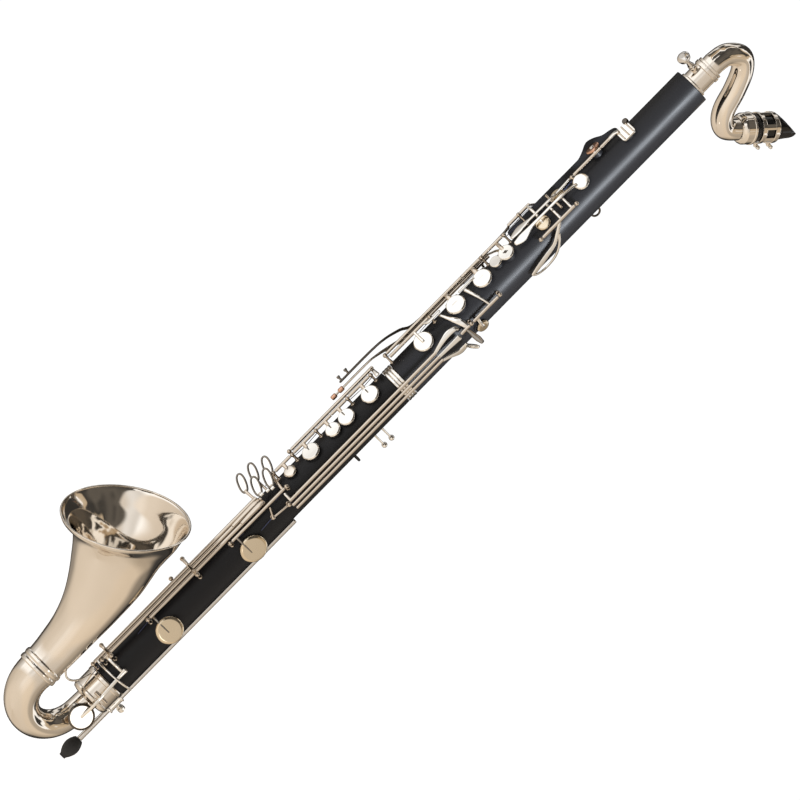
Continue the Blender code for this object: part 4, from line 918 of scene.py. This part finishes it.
def needle(z, rod_angle, cup_angle):
    """The thin spine from a long tube to the middle of its cup."""
    middle = (rod_angle + cup_angle) / 2
    # The spine is drawn in a darker copy of the key nickel: painted shade, so it shows as a dark line over
    # the cup.
    return arm((z, rod_angle, 28, 3), (z, middle, 26.8, 2, 1.6),
               (z, cup_angle - 16, CLOSED + 4.4, 1.7, 1.5), (z, cup_angle, CLOSED + 4.2, 1.2, 1.2),
               kind="smoked")


def low_keys():
    touch = (-149, -28, 36.4)
    tube_key("low_gsharp_key", -225, -152.8, (31, LOW_ROD_R),
        cup(-215.6, 79, 14.4, 3.4, "pad_cup") + needle(-219.5, 31, 79)
        + reach(at(-154.6, 31, 28.4), *touch) + paddle(*touch), thick=1.6)
    thick = 2.05
    tube_key("low_fsharp_key", -334.5, -175.5, (20, LOW_ROD_R),
        arm((-176.6, 20, 29.9, 4.6, 2), (-186, 20, 30.5, 4.6, 2), (-206, 20, 29.6, 3.4, 1.6), kind="rod")
        + cup(-330, 71, 14.2, 3.4, "pad_cup") + needle(-332, 20, 71), 4, thick)
    tube_key("low_e_key", -394, -175.5, (9.5, LOW_ROD_R),
        arm((-178.2, 9.5, 29.7, 4.6), (-188, 9.5, 30.3, 4.6, 2), (-214, 9.5, 29.6, 3.4, 1.6), kind="rod")
        + arm((-391.5, 9.5, 28, 4, 2), (-391.5, 32, 25.4, 3.4, 2), (-391.5, 47, 22.6, 3.4),
              (-391.5, 63, 22.2, 3.4, 1.6)), thick=thick)
    touch = (-178.4, -32, 41.4)
    tube_key("low_eb_key", -404, -178.5, (-1, LOW_ROD_R),
        arm((-400.4, -1, 28, 3), (-401, 30, 29.6, 2.2), (-400, 66, 31.6, 2.2), (-398, 99, 29.6, 2.2))
        + reach(at(-180.6, -1.5, 28.6), *touch) + paddle(*touch), thick=thick)
    touches = (  # name, z of the tube, its angle, then the paddle's z, angle and radius
        ("rh_touch_1", -160.4, 14, (-156.6, -4, 33.6)),
        ("rh_touch_2", -165.4, 10, (-163.2, -32, 41)),
        ("rh_touch_3", -172.4, 6, (-170.4, -10, 34.2)),
    )
    for name, z, angle, touch in touches:
        key(name, (z, angle, 29.6),
            turned("plate", at(z - 2, angle, 29.6), UP, ((0, 1.8), (4, 1.8)), 20, 0.3)
            + reach(at(z, angle, 30), *touch, 3) + paddle(*touch))


def bow_key():
    hinge = (-424, 66, 24.6)
    angle = BOW_HOLE[1]
    lip = ((1, 12.6), (1, 13.7), (3, 13.7), (3.4, 12.3))
    key("bow_key", hinge,
        barrel(*hinge, -8, 8, 1.7) + cup(*BOW_HOLE, 12.9, 3.2, "plate", "dish", base=17.7)
        # The lip round the cup is near-black: a painted shadow rim.
        + turned_ring("dark", at(*BOW_HOLE, 17.7), outward(angle), lip, 64)
        + arm((*BOW_HOLE, 20.9, 3), (-436, 67, 24.2, 3.2, 2), (-424, 66, 25.2, 3.6, 2.4),
              (-409, 64, 25.7, 3.6), (-397, 63, 25.7, 3.6), (-388.5, 62, 26.4, 5, 2)),
        2.7, sideways(66))


# --- Studio ---

VIEW_ANGLE = 47  # degrees round the bore that the camera stands at
VIEW_DISTANCE = 8
VIEW_TARGET = (12.2, -11.8)  # millimetres to the right of the bore and up it
VIEW_ROLL = 44.55
FIELD = 5.61  # degrees
FLOOR_Z = -0.708  # just under the peg's foot when it is drawn right out


def camera():
    data = bpy.data.cameras.new("camera")
    data.sensor_width = 36
    data.lens = 18 / tan(radians(FIELD / 2))
    data.clip_start = 0.05
    data.clip_end = 60
    obj = placed("camera", data)
    right, back = sideways(VIEW_ANGLE), outward(VIEW_ANGLE)
    turn = radians(VIEW_ROLL)
    x = right * cos(turn) + UP * sin(turn)
    y = UP * cos(turn) - right * sin(turn)
    target = right * VIEW_TARGET[0] * MM + UP * VIEW_TARGET[1] * MM
    place = Matrix((x, y, back)).transposed().to_4x4()
    place.translation = target + back * VIEW_DISTANCE
    obj.matrix_world = place
    bpy.context.scene.camera = obj


def floor():
    rings = [[Vector((c, s, 0)) * r + UP * FLOOR_Z for c, s in spokes(96, 0)] for r in (0.02, 1, 4, 12)]
    _, points, faces = skin("floor", rings)[0]
    mesh = bpy.data.meshes.new("floor")
    mesh.from_pydata(points, [], faces[:-2] + [tuple(range(96))])
    obj = placed("floor", mesh)
    made = bpy.data.materials.new("floor")
    made.use_nodes = True
    feed(made.node_tree, made.node_tree.nodes["Principled BSDF"], {
        "Base Color": (0.9, 0.9, 0.9, 1), "Roughness": 0.9, "Specular IOR Level": 0,
        "Emission Color": (1, 1, 1, 1), "Emission Strength": 0.85})
    mesh.materials.append(made)
    obj.visible_glossy = False


# What the metal reflects, in four rings: below, low, level and above. A stop is (share, level, warmth), and
# its share runs from 0 behind the bore over its left, 0.5 towards the camera and its right back to 1.
SWAY = 0.4  # how far a slow noise shifts the ring above, as a share of a turn
UNDER_RING = (
    (0, 0.8, 1.1), (0.4, 0.88, 1), (1, 0.75, 1.2),
)
LEVEL_RING = (
    (0, 0.03, 0), (0.1, 0.08, 1), (0.17, 0.5, 0.6), (0.24, 0.8, 0.3), (0.28, 1.25, 0), (0.42, 1.3, 0),
    (0.46, 0.85, 0.3), (0.5, 0.95, 0.2), (0.54, 0.8, 0.7), (0.6, 0.74, 0.8), (0.68, 0.7, 0.8),
    (0.76, 0.5, 1.2), (0.84, 0.3, 1.2), (0.9, 0.05, 0.5), (1, 0.02, 0),
)
LOWER_RING = (
    (0, 0.05, 0.5), (0.08, 0.35, 1), (0.16, 0.66, 1.1), (0.3, 0.8, 1), (0.42, 0.9, 0.9),
    (0.47, 1.03, 0.7), (0.53, 1.02, 0.9), (0.62, 0.9, 1.2), (0.78, 0.8, 1.3), (0.86, 0.5, 1.4),
    (0.9, 0.06, 0.5), (1, 0.02, 0),
)
UPPER_RING = (
    (0, 0.04, 0.5), (0.1, 0.05, 0.5), (0.13, 0.9, 0.2), (0.18, 0.95, 0.1), (0.21, 0.05, 0.5),
    (0.27, 0.1, 0.9), (0.295, 0.55, 1.8), (0.33, 0.6, 1.6), (0.345, 1.25, 0.1), (0.38, 1.25, 0),
    (0.4, 0.05, 0.5), (0.5, 0.09, 0.7), (0.6, 0.13, 0.9), (0.675, 0.05, 0.5), (0.7, 0.6, 1.7),
    (0.74, 0.62, 1.6), (0.76, 1.25, 0.1), (0.81, 1.2, 0.1), (0.83, 0.04, 0.5), (1, 0.04, 0.5),
)


def world():
    """White to the camera; in reflections a studio of bright cards, warm walls and dark gaps."""
    made = bpy.data.worlds.new("studio")
    bpy.context.scene.world = made
    made.use_nodes = True
    tree = made.node_tree
    tree.nodes.clear()
    place = add(tree, "TexCoord", {}).outputs["Generated"]
    faced = {"Angle": radians(-VIEW_ANGLE), "Vector": place}
    way = add(tree, "VectorRotate", faced, rotation_type="Z_AXIS").outputs["Vector"]
    split = add(tree, "SeparateXYZ", {"Vector": way}).outputs

    def reckon(kind, *values):
        return add(tree, "Math", dict(enumerate(values)), operation=kind).outputs["Value"]

    def ramp(stops, source):
        node = add(tree, "ValToRGB", {"Fac": source})
        node.color_ramp.interpolation = "EASE"
        while len(node.color_ramp.elements) < len(stops):
            node.color_ramp.elements.new(0.5)
        for element, (share, level, warmth) in zip(node.color_ramp.elements, stops):
            element.position = share
            element.color = (level, level * (1 - 0.12 * warmth), level * (1 - 0.26 * warmth), 1)
        return node.outputs["Color"]

    def over(low, high, below, above):
        """One look below a height of the sky and another above it, with a soft step between."""
        limits = {"From Min": low, "From Max": high, "Value": split["Z"]}
        share = add(tree, "MapRange", limits, interpolation_type="SMOOTHSTEP").outputs["Result"]
        return add(tree, "Mix", {"Factor": share, "A": below, "B": above}, data_type="RGBA").outputs["Result"]

    turn = reckon("ARCTAN2", split["X"], reckon("MULTIPLY", split["Y"], -1))
    around = reckon("ADD", reckon("DIVIDE", turn, 2 * pi), 0.5)
    clutter = add(tree, "TexNoise", {"Scale": 2.2, "Detail": 1, "Vector": way}).outputs["Fac"]
    swayed = reckon("ADD", around, reckon("MULTIPLY", reckon("SUBTRACT", clutter, 0.5), SWAY))
    side = over(-0.8, -0.5, ramp(UNDER_RING, around), ramp(LOWER_RING, around))
    side = over(-0.32, -0.14, side, ramp(LEVEL_RING, around))
    whole = over(0.05, 0.16, side, ramp(UPPER_RING, swayed))
    lit = add(tree, "Background", {"Color": whole, "Strength": 1}).outputs["Background"]
    seen = add(tree, "Background", {"Color": (1, 1, 1, 1), "Strength": 1.05}).outputs["Background"]
    by_camera = add(tree, "LightPath", {}).outputs["Is Camera Ray"]
    shown = add(tree, "MixShader", {0: by_camera, 1: lit, 2: seen}).outputs["Shader"]
    add(tree, "OutputWorld", {"Surface": shown})


def lamp(name, angle, height, distance, size, power, color=(1, 1, 1), only=()):
    """A soft rectangular light aimed at the bore's middle; only names the objects it is kept to, if any."""
    data = bpy.data.lights.new(name, "AREA")
    data.shape = "RECTANGLE"
    data.size, data.size_y = size
    data.energy = power
    data.color = color
    obj = placed(name, data)
    place = outward(angle) * distance + UP * height
    aim = place - UP * 0.05
    obj.visible_camera = False
    obj.matrix_world = Matrix.Translation(place) @ aim.to_track_quat("Z", "Y").to_matrix().to_4x4()
    if only:
        kept = bpy.data.collections.new(f"{name}_lit")
        for lit in only:
            kept.objects.link(bpy.data.objects[lit])
        obj.light_linking.receiver_collection = kept


def studio():
    camera()
    floor()
    world()
    lamp("key", VIEW_ANGLE + 38, 0.4, 1.6, (0.42, 0.5), 52, (0.86, 0.92, 1), ("upper_joint_resin",))
    lamp("card", VIEW_ANGLE + 39, -0.447, 0.5, (0.09, 0.066), 0.026)
    scene = bpy.context.scene
    scene.view_settings.view_transform = "Standard"


def main():
    body()
    neck()
    mouthpiece()
    ligature()
    bell_end()
    fittings()
    vent_keys()
    throat_keys()
    left_stack()
    left_levers()
    side_keys()
    right_stack()
    low_keys()
    bow_key()
    studio()


main()
